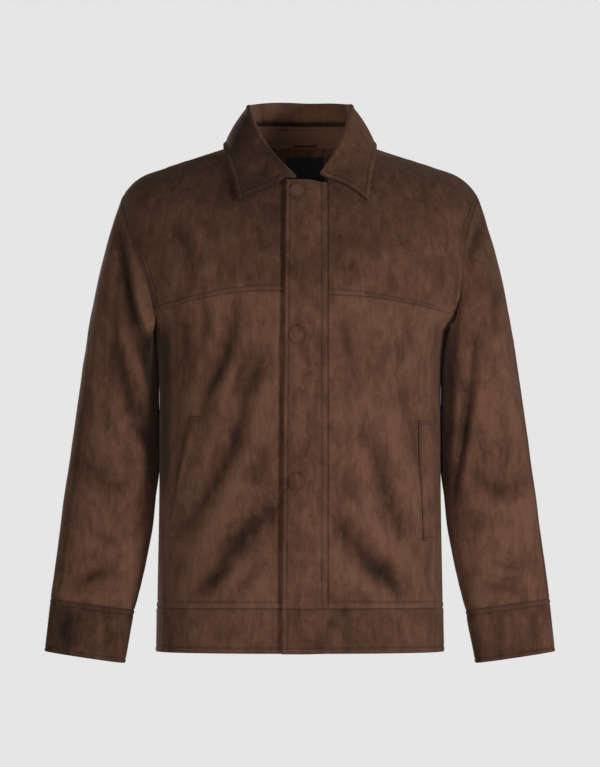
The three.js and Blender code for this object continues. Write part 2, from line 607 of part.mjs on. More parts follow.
const sleeveRow = (at) => {
  const columns = Object.keys(SLEEVE[0]).slice(1);
  return Object.fromEntries(columns.map((key) => [key, lookup(SLEEVE, key, at)]));
};
const sleeveSeam = (at) => mix(SLEEVE_SEAM.cap, SLEEVE_SEAM.elbow, smooth(at / SLEEVE_SEAM.settled));

// Places round the armhole, shared by the halves of the sleeve: the outer seam starts just behind the tip
const CAP_FRONT = YOKE_ROWS + UNDERARM_ROWS + 1;
const CAP_BACK = YOKE_ROWS + UNDERARM_ROWS - 1;
function capLoop(side) {
  const front = armhole(side, -1).map((at) => skin(-1, ...at));
  const back = armhole(side, 1).map((at) => skin(1, ...at));
  return [back[1], ...front, ...back.slice(2, -1).reverse()];
}
const evenAngles = (at) => {
  const seam = sleeveSeam(at);
  const front = between(seam, 180, CAP_FRONT);
  const back = between(180, 360 + seam, CAP_BACK).slice(1, -1);
  return [...front, ...back];
};
// Angles that face the armhole's own points, which even out on the way down the sleeve
function capAngles(at, loop) {
  const [high, low] = [Math.max(...loop.map((p) => p.z)), Math.min(...loop.map((p) => p.z))];
  return evenAngles(at).map((even, j) => {
    const across = clamp((loop[j].z - (high + low) / 2) / ((high - low) / 2), -1, 1);
    const own = Math.acos(Math.sign(across) * Math.abs(across) ** (SLEEVE_SQUARENESS / 2)) / RADIANS;
    const behind = j === 0 ? -own : j > CAP_FRONT ? 360 - own : own;
    return mix(behind, even, smooth(at / SLEEVE_SEAM.settled));
  });
}

// Whole sleeve as rings of points: the first is the armhole's own line, which eases into the plain sections
function sleeveRings(side) {
  const loop = capLoop(side);
  const ring = (at) => capAngles(at, loop).map((degrees) => sleevePoint(side, sleeveRow(at), degrees));
  const start = ring(0);
  return between(0, SLEEVE[SLEEVE.length - 1].at, SLEEVE_ROWS).map((at) => {
    const left = 1 - smooth(at / CAP_EASE);
    return ring(at).map((p, j) => p.addScaledVector(loop[j].clone().sub(start[j]), left));
  });
}

// Normals of a closed grid of rings, from the slopes to their neighbours
function ringNormals(rings, axis) {
  const columns = rings[0].length;
  return rings.map((ring, i) =>
    ring.map((p, j) => {
      const around = ring[(j + 1) % columns].clone().sub(ring[(j + columns - 1) % columns]);
      const along = rings[Math.min(i + 1, rings.length - 1)][j].clone().sub(rings[Math.max(i - 1, 0)][j]);
      const n = around.cross(along).normalize();
      return n.dot(p.clone().sub(axis(i))) < 0 ? n.negate() : n;
    }),
  );
}
const middleOf = (ring) => ring.reduce((sum, p) => sum.add(p), new THREE.Vector3()).divideScalar(ring.length);

function creased(rings) {
  const normals = ringNormals(rings, (i) => middleOf(rings[i]));
  return rings.map((ring, i) =>
    ring.map((p, j) => {
      const n = normals[i][j];
      const inside = smooth(i / UNCREASED) * smooth((rings.length - 1 - i) / UNCREASED);
      const facing = smooth(Math.abs(n.y) * FOLD_FACING.sleeve);
      const depth = foldDepth(SLEEVE_FOLDS, n.y < 0 ? p.x : -p.x, p.z);
      return p.clone().addScaledVector(n, -depth * inside * facing);
    }),
  );
}

// Inner grid one layer of cloth behind an outer grid
const inward = (outer, normalAt) =>
  outer.map((row, i) => row.map((p, j) => p.clone().addScaledVector(normalAt(i, j), -CLOTH)));

function makeSleeve(key) {
  const side = SIDES[key];
  const rings = creased(sleeveRings(side));
  const normals = ringNormals(rings, (i) => middleOf(rings[i]));
  const bodyNormals = capNormals(side);
  // At the armhole the wall stands halfway between the sleeve's normal and the body's, where they nearly agree
  normals[0] = normals[0].map((n, j) => {
    const share = smooth((n.dot(bodyNormals[j]) - 0.2) / 0.5) / 2;
    return n.clone().lerp(bodyNormals[j], share).normalize();
  });
  const off = SEAM_GAP * 0.8;
  rings[0] = rings[0].map((p, j) => p.clone().add(rings[1][j].clone().sub(p).setLength(off)));
  const columns = rings[0].length;
  const half = (name, from, to) => {
    const picks = Array.from({ length: to - from + 1 }, (_, j) => (from + j) % columns);
    const outer = drawIn(rings.map((row) => picks.map((j) => row[j])));
    add(name, wall(outer, inward(outer, (i, j) => normals[i][picks[j]])));
  };
  half(`sleeve_front_${key}`, 0, CAP_FRONT);
  half(`sleeve_back_${key}`, CAP_FRONT, columns);
}

function capNormals(side) {
  const front = armhole(side, -1).map((at) => smoothNormal(-1, ...at));
  const back = armhole(side, 1).map((at) => smoothNormal(1, ...at));
  return [back[1], ...front, ...back.slice(2, -1).reverse()];
}

// Cuff: a plain band, a little fuller than the end of the sleeve
function makeCuff(key) {
  const side = SIDES[key];
  const seamRow = SLEEVE[SLEEVE.length - 1];
  const rows = 3;
  const rings = steps(rows).map((t) => {
    const sizes = Object.keys(CUFF_END).map((name) => [name, mix(seamRow[name], CUFF_END[name], t)]);
    const row = Object.fromEntries(sizes);
    return evenAngles(SLEEVE.length).map((degrees) => sleevePoint(side, row, degrees));
  });
  const normals = ringNormals(rings, (i) => middleOf(rings[i]));
  const down = rings[rows][0].clone().sub(rings[0][0]).setLength(SEAM_GAP);
  rings[0] = rings[0].map((p) => p.clone().add(down));
  add(`cuff_${key}`, wall(rings, inward(rings, (i, j) => normals[i][j]), true));
}

// Neck seam in space, all round: degrees from the front through the right, so that 360 is the front again
function neckPoint(turn) {
  const side = turn <= 180 ? -1 : 1;
  const { face, at } = neckCoordinates(side, turn <= 180 ? turn : 360 - turn);
  const point = smoothSkin(face, ...at);
  const depth = point.y < RIDGE_Y ? NECK.frontDepth : NECK.backY - RIDGE_Y;
  const out = new THREE.Vector3(point.x / NECK.half ** 2, (point.y - RIDGE_Y) / depth ** 2, 0);
  return { point, out: out.normalize() };
}

// Moves a point straight out of the body's upper part until it clears the skin
function clearOfBody(p, clearance) {
  const face = p.y > RIDGE_Y ? 1 : -1;
  const rise = shoulderZ(p.x, face) - ARMPIT_Z;
  const depth = depthAt(p.x, upperHalf(1), lookup(BODY, face > 0 ? "back" : "front", ARMPIT_Z));
  const reach = Math.abs(face * depth - RIDGE_Y);
  const share = (p.z - ARMPIT_Z) / rise;
  const forward = (p.y - RIDGE_Y) / reach;
  const size = Math.hypot(share, forward);
  const slope = Math.hypot(share / rise, forward / reach) / size;
  const wanted = 1 + clearance * slope;
  if (size >= wanted) return p;
  const grow = wanted / size;
  return new THREE.Vector3(p.x, RIDGE_Y + (p.y - RIDGE_Y) * grow, ARMPIT_Z + (p.z - ARMPIT_Z) * grow);
}

const STAND_SEAT = 1.3; // height of the stand's lower edge above the neck seam
const COLLAR_FROM = LEAF_RIGHT[0].at;
const COLLAR_TO = 360 - LEAF_LEFT[0].at;
function leafEdge(turn) {
  const [table, side, at] = turn <= 180 ? [LEAF_RIGHT, -1, turn] : [LEAF_LEFT, 1, 360 - turn];
  return new THREE.Vector3(side * lookup(table, "x", at), lookup(table, "y", at), lookup(table, "z", at));
}

// Length of the neck seam from the nearer end of the collar, which sets how high the collar stands
function neckRun(turn) {
  const nearRight = turn < (COLLAR_FROM + COLLAR_TO) / 2;
  const marks = between(nearRight ? COLLAR_FROM : COLLAR_TO, turn, 24).map((t) => neckPoint(t).point);
  return marks.slice(1).reduce((sum, p, i) => sum + p.distanceTo(marks[i]), 0);
}
function collarHeight(turn) {
  const run = neckRun(turn);
  const dip = COLLAR_DIP.depth * Math.exp(-(((run - COLLAR_DIP.run) / COLLAR_DIP.width) ** 2));
  return COLLAR.end + COLLAR.rise * (1 - Math.exp(-run / COLLAR.reach)) - dip;
}

// A place on the stand and roll: a share of the collar's height, leaning in towards the neck
function standPoint(turn, share, extraOut = 0) {
  const { point, out } = neckPoint(turn);
  const height = collarHeight(turn);
  const lean = COLLAR.lean * (height / COLLAR_TALL) * smooth(mix(0.1, 0.9, share));
  return point.addScaledVector(out, extraOut - lean).add(new THREE.Vector3(0, 0, height * share));
}

// Collar section: up the inside, over the roll and down the leaf to its free edge
function collarSection(turn) {
  const height = collarHeight(turn);
  const roll = mix(ROLL.end, ROLL.back, height / COLLAR_TALL);
  const { out } = neckPoint(turn);
  const inside = [COLLAR.standShare + 0.5 / height, 0.72, 0.92].map((share) => standPoint(turn, share));
  const crown = inside[2].clone().addScaledVector(out, roll);
  const crest = [50, 100, 150, 185].map((degrees) => {
    const angle = degrees * RADIANS;
    const side = crown.clone().addScaledVector(out, -roll * Math.cos(angle));
    return side.add(new THREE.Vector3(0, 0, roll * ROLL.rise * Math.sin(angle)));
  });
  const edge = leafEdge(turn);
  const start = crest[crest.length - 1];
  const fall = steps(6).slice(1).map((t) => {
    const p = start.clone().lerp(edge, t);
    const swell = COLLAR.bulge * Math.sin(Math.PI * t);
    p.addScaledVector(out, swell).add(new THREE.Vector3(0, 0, swell * 0.6));
    const over = placketLift(p.x) * smooth((p.x - PLACKET.edgeTop + 14) / 12);
    return clearOfBody(p, CLOTH * 2 + COLLAR.clear * smooth(t * 2) + over);
  });
  return [...inside, ...crest, ...fall];
}

// Degrees round the neck of the collar's columns, which lie closer together towards its two ends
const COLUMN_DRIFT = 0.35;
const columnTurns = (from, to, columns) =>
  steps(columns).map((t) => mix(from, to, t - (COLUMN_DRIFT / (2 * Math.PI)) * Math.sin(2 * Math.PI * t)));

// Inner grid a wall's thickness behind an open grid, away from its seen face
function thicken(grid, thick, seenFrom) {
  const [rows, columns] = [grid.length - 1, grid[0].length - 1];
  return grid.map((row, i) =>
    row.map((p, j) => {
      const across = row[Math.min(j + 1, columns)].clone().sub(row[Math.max(j - 1, 0)]);
      const up = grid[Math.min(i + 1, rows)][j].clone().sub(grid[Math.max(i - 1, 0)][j]);
      return p.clone().addScaledVector(across.cross(up).normalize(), -thick * seenFrom);
    }),
  );
}

function makeCollar() {
  const turns = columnTurns(COLLAR_FROM, COLLAR_TO, COLLAR_COLUMNS);
  const sections = turns.map(collarSection);
  const grid = sections[0].map((_, i) => sections.map((section) => section[i]));
  add("collar", wall(grid, thicken(grid, CLOTH, 1)));
  const standTurns = turns.slice(2, -2);
  const stand = steps(3).map((t) =>
    standTurns.map((turn) => {
      const share = mix(STAND_SEAT / collarHeight(turn), COLLAR.standShare, t);
      return standPoint(turn, share, -CLOTH * (1 - t));
    }),
  );
  const seated = drawIn(stand);
  add("collar_stand", wall(seated, thicken(seated, CLOTH, 1)));
}

// Facing inside the back of the neck, made from the back yoke's own points, with the label on it
function makeNeckInside() {
  const facing = backYokeGrid().slice(0, FACING.rows + 1).map((row) => row.slice(FACING.skip, -FACING.skip));
  panel("neck_facing", 1, facing, { lift: () => -CLOTH - FACING.off, material: SUEDE_INSIDE, gap: SEAM_GAP });
  const labelGrid = steps(3).map((v) =>
    steps(4).map((u) => {
      const x = LABEL.x + LABEL.half * (2 * u - 1);
      return coordinates(1, x, LABEL.top - LABEL.height * (1 - v));
    }),
  );
  const lift = () => -(2 * CLOTH + LABEL.off);
  panel("neck_label", 1, labelGrid, { lift, thick: LABEL.thick, material: WOVEN_BLACK, gap: 0 });
}

function makeHangerLoop() {
  const grid = [0, 1].map((v) =>
    steps(8).map((u) => {
      const x = LOOP.x + LOOP.half * (2 * u - 1);
      const at = coordinates(1, x, LOOP.top - LOOP.height * (1 - v));
      return skin(1, ...at, () => -(2 * CLOTH + LOOP.off + LOOP.stand * Math.sin(Math.PI * u)));
    }),
  );
  add("hanger_loop", wall(grid, thicken(grid, LOOP.thick, 1)));
}

Object.keys(SIDES).forEach((key) => {
  makeFrontYoke(key);
  makeFrontPanel(key);
  makeSleeve(key);
  makeCuff(key);
  makeWelt(key);
});
makeBack();
makeHemBand();
makePlacket();
makeButtons();
makeCollar();
makeNeckInside();
makeHangerLoop();

export default jacket;
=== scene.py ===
"""Hip-length suede jacket, filled out with nobody in it: cloth shells, sewing, suede, studio.

Millimetres are used in the working functions and metres in Blender. X grows towards the wearer's left,
-Y is the front, +Z is up, and the origin lies between the tops of the shoulders.
"""

import json
import math

import bpy
import numpy as np
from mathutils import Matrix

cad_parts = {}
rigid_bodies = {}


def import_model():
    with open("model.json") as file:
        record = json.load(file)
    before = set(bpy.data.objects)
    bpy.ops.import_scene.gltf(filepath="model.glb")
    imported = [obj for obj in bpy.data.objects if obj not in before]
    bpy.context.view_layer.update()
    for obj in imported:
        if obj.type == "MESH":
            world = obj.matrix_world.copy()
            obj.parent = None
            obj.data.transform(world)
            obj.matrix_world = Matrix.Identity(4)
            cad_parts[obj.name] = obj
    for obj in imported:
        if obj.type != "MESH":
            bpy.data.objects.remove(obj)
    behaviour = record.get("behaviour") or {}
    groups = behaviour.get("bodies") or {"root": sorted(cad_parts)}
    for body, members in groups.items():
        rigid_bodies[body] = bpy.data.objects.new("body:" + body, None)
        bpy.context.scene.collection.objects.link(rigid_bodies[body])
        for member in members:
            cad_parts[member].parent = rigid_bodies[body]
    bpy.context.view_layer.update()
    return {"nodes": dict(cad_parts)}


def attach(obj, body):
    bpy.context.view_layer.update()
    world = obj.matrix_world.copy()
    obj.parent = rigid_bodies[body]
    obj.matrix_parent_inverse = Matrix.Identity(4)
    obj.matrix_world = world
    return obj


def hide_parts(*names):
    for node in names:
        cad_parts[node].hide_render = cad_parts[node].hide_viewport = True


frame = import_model()

bl_info = {
    "name": "Suede jacket",
    "version": (1, 0, 0),
    "blender": (4, 5, 0),
    "location": "3D View > Sidebar > Jacket",
    "description": "Sewn suede pieces, stitching, label, buttons and a plain studio",
    "category": "Object",
}

# ---- sizes in millimetres -------------------------------------------------------------------------------------
ARMPIT_Z, WAIST_Z, HEM_Z = -250.0, -629.0, -689.0
SHOULDER_Z, SHOULDER_SLOPE = 18.5, 0.325
TIP_X, TIP_DROP, TIP_FROM = 249.5, 23.4, 198.0
RIDGE_Y = 8.0
GIRTH_EXTRA, GIRTH_RISE, GIRTH_POWER = 52.0, 40.0, 1.3
SQUARE = 2.4
ARC = 250.0
SHARED_DEPTH = 133.0
NECK_HALF, NECK_FRONT_Z, NECK_FRONT_DEPTH, NECK_BACK_Y = 76.0, -51.0, 95.0, 66.0
NECK_HUMP, NECK_DIP, NECK_POWER = 50.0, 18.5, 1.2
NECK_SEAM_ANGLE = 60.0
SEAM_ANGLE = 70.0
BACK_YOKE_Z = -146.0
BAND_FLARE = 0.6
UNDERLAP_X = 5.0
PLACKET_SEAM_X, PLACKET_TOP, PLACKET_LIFT, PLACKET_FLAT = 37.3, -53.5, 6.2, 7.0
PLACKET_EDGE_TOP, PLACKET_EDGE_LOW = -19.4, -24.4
BUTTON_X, BUTTON_HIGHEST, BUTTON_PITCH, BUTTON_COUNT = -5.0, -70.0, 97.5, 7
ARMHOLE_UPPER, ARMHOLE_UNDER = 7, 4
CAP_FRONT, CAP_LOOP = 12, 22
SLEEVE_SQUARE = 2.35
SIDES = {"right": -1, "left": 1}


def table(names, *rows):
    """Rows of numbers as one array a column, by the columns' names."""
    return dict(zip(names.split(), np.array(rows, float).T))


BODY = table(
    "at half front back",
    (-700, 199.5, 139, 116),
    (-629, 198, 144, 119),
    (-490, 195.3, 148, 122),
    (-400, 195, 148, 120),
    (-300, 196, 148, 118),
    (-250, 203, 148, 118),
)
ARMHOLE = table(
    "at right left back",
    (-225, 197, 213.5, 216),
    (-195, 204.5, 219, 221),
    (-155, 216.5, 222.5, 226.5),
    (-115, 232.5, 228.5, 234),
    (-85, 242.5, 239, 242),
    (-60, 249.5, 249.5, 249.5),
)
ARMHOLE_LOW = {"right": -228.5, "left": -229.5, "back": -222.0}
YOKE = table(
    "at right left",
    (-20, -206.4, -211.5),
    (50, -206.4, -212),
    (90, -208.4, -213.8),
    (130, -214.5, -218),
    (190, -227, -227.5),
    (215, -233, -232),
)
SHOULDER_SEAM = table("at y", (66, -66), (106, -50), (133, -31), (165, -10), (200, 4), (249.5, RIDGE_Y))
SLEEVE = table(
    "at outer_x outer_z inner_x inner_z front back y",
    (0, 258, -82, 205.8, -264, 95, 82, 2),
    (1, 267, -113, 200.4, -283, 93, 80, 1),
    (2, 276, -155, 197.0, -307, 88, 76, 0),
    (3, 286, -205, 196.2, -336, 81, 71, 0),
    (4, 295, -255, 195.4, -370, 73, 66, -1),
    (5, 304, -313, 195.1, -405, 65, 61, -2),
    (6, 312, -370, 195.4, -440, 59, 56, -4),
    (7, 319.5, -425, 200, -475, 53, 51, -6),
    (8, 327, -480, 203.5, -512, 47.5, 47, -9),
    (9, 334, -537, 210.5, -553, 42.5, 42.5, -12),
    (10, 341.5, -592, 220, -597, 38, 38, -16),
    (11, 344.5, -616, 229, -632, 35, 35, -18),
)
CUFF_END = {"outer_x": 352, "outer_z": -688.5, "inner_x": 242, "inner_z": -705, "front": 31, "back": 31, "y": -22}
CAP_EASE = 3.0
SLEEVE_SEAM_CAP, SLEEVE_SEAM_SETTLED = -25.0, 5.0
SLEEVE_SEAM_LOW = {"right": 38.0, "left": 18.0}
LEAF_RIGHT = table(
    "at x y z",
    (4.5, 83, -107, -98),
    (28, 92, -90, -53),
    (50, 103, -58, -19),
    (72, 106.5, -20, 4.5),
    (90, 107, 8, 11.5),
    (112, 103, 36, 13),
    (135, 84, 60, 13),
    (158, 45, 75, 14),
    (180, 0, 79, 14),
)
LEAF_LEFT = table(
    "at x y z",
    (20.8, 92, -104, -96),
    (38, 98, -86, -56),
    (56, 104, -58, -23),
    (74, 106.5, -20, 3.5),
    (90, 107, 8, 11.5),
    (112, 103, 36, 13),
    (135, 84, 60, 13),
    (158, 45, 75, 14),
    (180, 0, 79, 14),
)
COLLAR_FROM, COLLAR_TO = 4.5, 360 - 20.8
STAND_SHARE, COLLAR_END, COLLAR_RISE, COLLAR_REACH = 0.48, 4.5, 59.5, 60.0
COLLAR_DIP, COLLAR_DIP_PLACE, COLLAR_DIP_WIDTH = {"right": 8.5, "left": 5.5}, 115.0, 35.0
COLLAR_LEAN, COLLAR_BULGE, COLLAR_TALL, STAND_SEAT = 13.0, 2.2, 64.0, -1.2
WELTS = {
    "right": ((-179, -536), (-162.5, -537), (-148, -371), (-130, -372)),
    "left": ((165.5, -538), (183, -537), (159, -376), (176.5, -375)),
}

# Folds: a line seen from the front (X, Z), its depth (below zero it is a ridge) and its half width
FRONT_FOLDS = (
    (((-128, -221), (-128, -257), (-131, -273)), 2.5, 8),
    (((-88, -222), (-90, -253), (-109, -310), (-122, -335), (-131, -363)), 5, 12),
    (((-49, -294), (-74, -345), (-86, -396), (-115, -457), (-155, -522)), 5.5, 13),
    (((-67, -277), (-86, -326), (-96, -354)), 2.5, 8),
    (((-29, -489), (-75, -528), (-102, -560), (-126, -604)), 6, 18),
    (((-94, -573), (-145, -608)), 3.5, 11),
    (((-59, -575), (-94, -613)), 3.5, 11),
    (((-170, -112), (-152, -151), (-144, -185)), 3, 12),
    (((86, -388), (105, -424), (117, -477), (139, -538)), 4.5, 15),
    (((51, -497), (70, -539), (135, -604)), 5, 16),
    (((86, -567), (132, -601)), 3.5, 12),
    (((136, -323), (164, -446)), 3, 14),
)
BACK_FOLDS = (
    (((-118, -226), (-112, -290), (-128, -366)), 4, 17),
    (((124, -232), (113, -318), (121, -402)), 4, 17),
    (((-42, -470), (-84, -540), (-128, -604)), 5, 19),
    (((36, -500), (88, -556), (120, -606)), 4.5, 18),
    (((-160, -430), (-120, -520)), 3.5, 15),
    (((-60, -170), (-52, -215)), 2, 14),
    (((150, -470), (118, -560)), 3, 13),
    (((-12, -560), (-30, -612)), 2.5, 12),
)
SLEEVE_FOLDS = (
    (((-246, -100), (-237, -170), (-228, -225), (-216, -272), (-202, -318)), 6.5, 11),
    (((-252, -178), (-250, -273), (-237, -327), (-218, -385), (-204, -412)), 5, 13),
    (((-232, -130), (-219, -215), (-205, -256)), -2.8, 8),
    (((-235, -399), (-235, -447)), 2.5, 14),
    (((-247, -583), (-280, -583), (-308, -604)), 4, 9),
    (((-300, -420), (-270, -452), (-240, -470)), 3, 14),
    (((243, -78), (255, -95), (231, -139), (222, -167)), 5, 11),
    (((237, -270), (232, -338), (224, -386), (216, -433), (209, -481)), 5, 7),
    (((266, -190), (268, -255)), 3, 9),
    (((261, -598), (288, -604), (315, -611)), 4, 9),
    (((248, -452), (275, -470), (305, -458)), 3, 14),
)
# Hollows and ridges of the cuffs
CUFF_FOLDS = (
    (((-322, -618), (-325, -655), (-322, -690)), 3.4, 17),
    (((-276, -624), (-274, -680)), -1.6, 12),
    (((-258, -650), (-262, -690)), 1.4, 8),
    (((268, -640), (272, -690)), 1.6, 9),
    (((318, -632), (322, -676)), 1.5, 10),
)
# Small wrinkles that only the finished cloth has
FRONT_WRINKLES = (
    (((-22.5, -66), (-24.5, -350), (-27.5, -640)), 2.6, 2.4),
    (((7, -302), (27, -309)), 1.4, 2.6),
    (((16, -301), (26, -305)), 1.0, 2.2),
    (((5, -317), (14, -316), (24, -318)), 1.2, 2.6),
    (((17, -326), (26, -329)), 1.0, 2.4),
    (((-150, -376), (-160, -415), (-168, -450), (-173, -485), (-175, -505)), 3.6, 4.6),
    (((150, -380), (160, -430), (165, -470)), 1.0, 4),
    (((131, -269), (133, -300), (130, -323)), 1.4, 6),
    (((-147, -192), (-150, -210)), 1.2, 5),
    (((-160, -240), (-152, -300)), 1.6, 8),
    (((60, -240), (66, -300)), 1.2, 9),
    (((150, -240), (146, -286)), 1.4, 8),
    (((-12, -647), (6, -645), (21, -648)), 1.2, 3.4),
    (((-12, -672), (5, -670), (21, -673)), 1.2, 3.2),
    (((39, -646), (56, -656), (60, -669)), 1.5, 4),
    (((-110, -405), (-120, -440)), 1.6, 7),
    (((-46, -420), (-66, -470)), 1.8, 9),
    (((62, -440), (80, -500)), 1.6, 9),
)
SLEEVE_WRINKLES = (
    (((-262, -300), (-266, -350), (-258, -398)), 1.8, 8),
    (((-222, -330), (-214, -366)), 1.6, 6),
    (((-290, -520), (-262, -536), (-240, -530)), 1.8, 8),
    (((-240, -560), (-262, -566), (-286, -562)), 1.6, 6),
    (((-250, -608), (-285, -606), (-320, -616)), 1.8, 5),
    (((-300, -250), (-306, -320)), 1.6, 9),
    (((237, -502), (237, -550)), 2.0, 9),
    (((214, -300), (222, -350), (220, -395)), 1.8, 7),
    (((272, -360), (284, -430)), 1.6, 9),
    (((258, -566), (286, -572), (318, -566)), 1.7, 6),
    (((250, -580), (280, -588), (306, -586)), 1.7, 5),
    (((290, -250), (300, -320)), 1.4, 9),
)


# ---- plain mathematics ----------------------------------------------------------------------------------------
def mix(a, b, t):
    """a where t is 0, b where t is 1, and a straight line between."""
    return a + (b - a) * t


def smooth(t):
    """t squared times (3 - 2t), with t held from 0 to 1."""
    t = np.clip(t, 0, 1)
    return t * t * (3 - 2 * t)


def curve(tab, key, at):
    """One column of a table: a cubic between its rows, whose slopes come from each row's two neighbours."""
    xs, ys = tab["at"], tab[key]
    i = np.clip(np.searchsorted(xs, at, side="right") - 1, 0, len(xs) - 2)
    before, after = np.maximum(i - 1, 0), np.minimum(i + 2, len(xs) - 1)
    span = xs[i + 1] - xs[i]
    t = np.clip((at - xs[i]) / span, 0, 1)
    slope_a = (ys[i + 1] - ys[before]) / (xs[i + 1] - xs[before]) * span
    slope_b = (ys[after] - ys[i]) / (xs[after] - xs[i]) * span
    a, b = 2 * t**3 - 3 * t**2 + 1, 3 * t**2 - 2 * t**3
    return a * ys[i] + (t**3 - 2 * t**2 + t) * slope_a + b * ys[i + 1] + (t**3 - t**2) * slope_b


def through(points, t):
    """Smooth line through points (first axis) at places t, counted in points: the cubic of `curve`."""
    points = np.asarray(points, float)
    last = len(points) - 1
    i = np.clip(np.floor(t).astype(int), 0, last - 1)
    f = (np.asarray(t) - i).reshape((-1,) + (1,) * (points.ndim - 1))
    p0, p1 = points[np.maximum(i - 1, 0)], points[i]
    p2, p3 = points[i + 1], points[np.minimum(i + 2, last)]
    edge_a = np.where((i > 0).reshape(f.shape), 0.5, 1.0)
    edge_b = np.where((i + 2 <= last).reshape(f.shape), 0.5, 1.0)
    slope_a, slope_b = (p2 - p0) * edge_a, (p3 - p1) * edge_b
    a, b = 2 * f**3 - 3 * f**2 + 1, 3 * f**2 - 2 * f**3
    return a * p1 + (f**3 - 2 * f**2 + f) * slope_a + b * p2 + (f**3 - f**2) * slope_b


LATTICE = np.random.RandomState(11).uniform(-1, 1, (32, 32, 32))


def uneven(p, size, seed=0):
    """Soft seeded unevenness: random values at the corners of cubes of a size, blended smoothly inside them."""
    q = p / size + seed * 7.31
    low = np.floor(q).astype(int)
    f = smooth(q - low)
    total = 0
    for corner in np.ndindex(2, 2, 2):
        weight = np.prod(np.where(np.array(corner) == 1, f, 1 - f), axis=-1)
        i = (low + corner) % 32
        total = total + weight * LATTICE[i[..., 0], i[..., 1], i[..., 2]]
    return total


FOLD_STRENGTH = 1.25


def fold_depth(folds, x, z, crisp=0.35):
    """Depth of the folds at (x, z). Across each: a bell of its half width with a narrower bell inside it and a
    low ridge on both sides. Along it: full depth in the middle and a third at the ends."""
    total = np.zeros_like(x)
    for line, depth, width in folds:
        spots = through(line, np.linspace(0, len(line) - 1, 4 * len(line)))
        nearest, along = np.full_like(x, np.inf), np.zeros_like(x)
        for i, (a, b) in enumerate(zip(spots, spots[1:])):
            step = b - a
            t = np.clip(((x - a[0]) * step[0] + (z - a[1]) * step[1]) / (step @ step), 0, 1)
            d = np.hypot(x - a[0] - step[0] * t, z - a[1] - step[1] * t)
            closer = d < nearest
            nearest = np.where(closer, d, nearest)
            along = np.where(closer, (i + t) / (len(spots) - 1), along)
        bell = (1 - crisp) * np.exp(-((nearest / width) ** 2)) + crisp * np.exp(-((nearest / (0.45 * width)) ** 2))
        side = 0.16 * np.exp(-(((nearest - 2.0 * width) / (0.7 * width)) ** 2))
        total += depth * mix(0.35, 1, np.sin(np.pi * along)) * (bell - side)
    return FOLD_STRENGTH * total


# ---- the body's skin ------------------------------------------------------------------------------------------
def radius(angle, half, depth):
    """Distance to a superellipse of half width and depth, at an angle from its depth's direction."""
    s, c = np.abs(np.sin(angle)) / half, np.abs(np.cos(angle)) / depth
    return (s**SQUARE + c**SQUARE) ** (-1 / SQUARE)


def depth_at(x, half, depth):
    """Depth of the superellipse at a place across it."""
    return depth * np.maximum(0, 1 - np.minimum(1, np.abs(x) / half) ** SQUARE) ** (1 / SQUARE)


def shoulder_z(x, face):
    """Height of the shoulder line: a slope that drops away at its tip, and a hump or dip inside the neck."""
    out = np.abs(x)
    bump = np.maximum(0, 1 - (out / NECK_HALF) ** 2) ** NECK_POWER
    neck = SHOULDER_Z + np.where(face > 0, NECK_HUMP, -NECK_DIP) * bump
    tip = np.maximum(0, (out - TIP_FROM) / (TIP_X - TIP_FROM))
    return np.where(out < NECK_HALF, neck, SHOULDER_Z - SHOULDER_SLOPE * (out - NECK_HALF) - TIP_DROP * tip**3.2)


def body_depth(face):
    """Depth of the section at the armpit, behind or in front."""
    return np.where(np.asarray(face) > 0, BODY["back"][-1], BODY["front"][-1])


def upper_half(share):
    """Half width above the armpit: it widens by a bell-like rise towards the shoulders."""
    grown = 1 - np.exp(-((ARC * np.maximum(share, 0) / GIRTH_RISE) ** GIRTH_POWER))
    return BODY["half"][-1] + GIRTH_EXTRA * grown


def smooth_skin(face, angle, m):
    """Body without folds. Below the armpit: a superellipse at height m. Above: x on the section's ellipse at the
    angle, y and z along an arc over the shoulder that m measures."""
    angle, m = np.broadcast_arrays(np.asarray(angle, float), np.asarray(m, float))
    z = ARMPIT_Z + np.minimum(m, 0)
    own, other = ("back", "front") if face > 0 else ("front", "back")
    depth = np.where(np.cos(angle) >= 0, curve(BODY, own, z), curve(BODY, other, z))
    r = radius(angle, curve(BODY, "half", z), depth)
    low = np.stack([r * np.sin(angle), face * r * np.cos(angle), z], -1)
    share, forward = np.sin(m / ARC), np.cos(m / ARC)
    side = np.where(forward >= 0, face, -face)
    depth, half = body_depth(side), upper_half(share)
    x = radius(angle, half, mix(depth, SHARED_DEPTH, share)) * np.sin(angle)
    y = RIDGE_Y + (side * depth_at(x, half, depth) - RIDGE_Y) * np.abs(forward)
    high = np.stack([x, y, ARMPIT_Z + (shoulder_z(x, side) - ARMPIT_Z) * share], -1)
    return np.where((m <= 0)[..., None], low, high)


def unit(v):
    """Vectors made one long."""
    return v / np.maximum(np.linalg.norm(v, axis=-1, keepdims=True), 1e-9)


def away_from(p):
    """Rough direction out of the body, never wrong by a right angle."""
    up = np.maximum(0, p[..., 2] - ARMPIT_Z) / 200
    return unit(np.stack([p[..., 0] / 200, (p[..., 1] - RIDGE_Y) / 140, up], -1))


def smooth_normal(face, angle, m):
    """Cross product of the skin's two slopes, turned outwards."""
    across = smooth_skin(face, angle + 0.004, m) - smooth_skin(face, angle - 0.004, m)
    up = smooth_skin(face, angle, m + 1) - smooth_skin(face, angle, m - 1)
    n = unit(np.cross(across, up))
    return n * np.where(np.sum(n * away_from(smooth_skin(face, angle, m)), -1) < 0, -1, 1)[..., None]


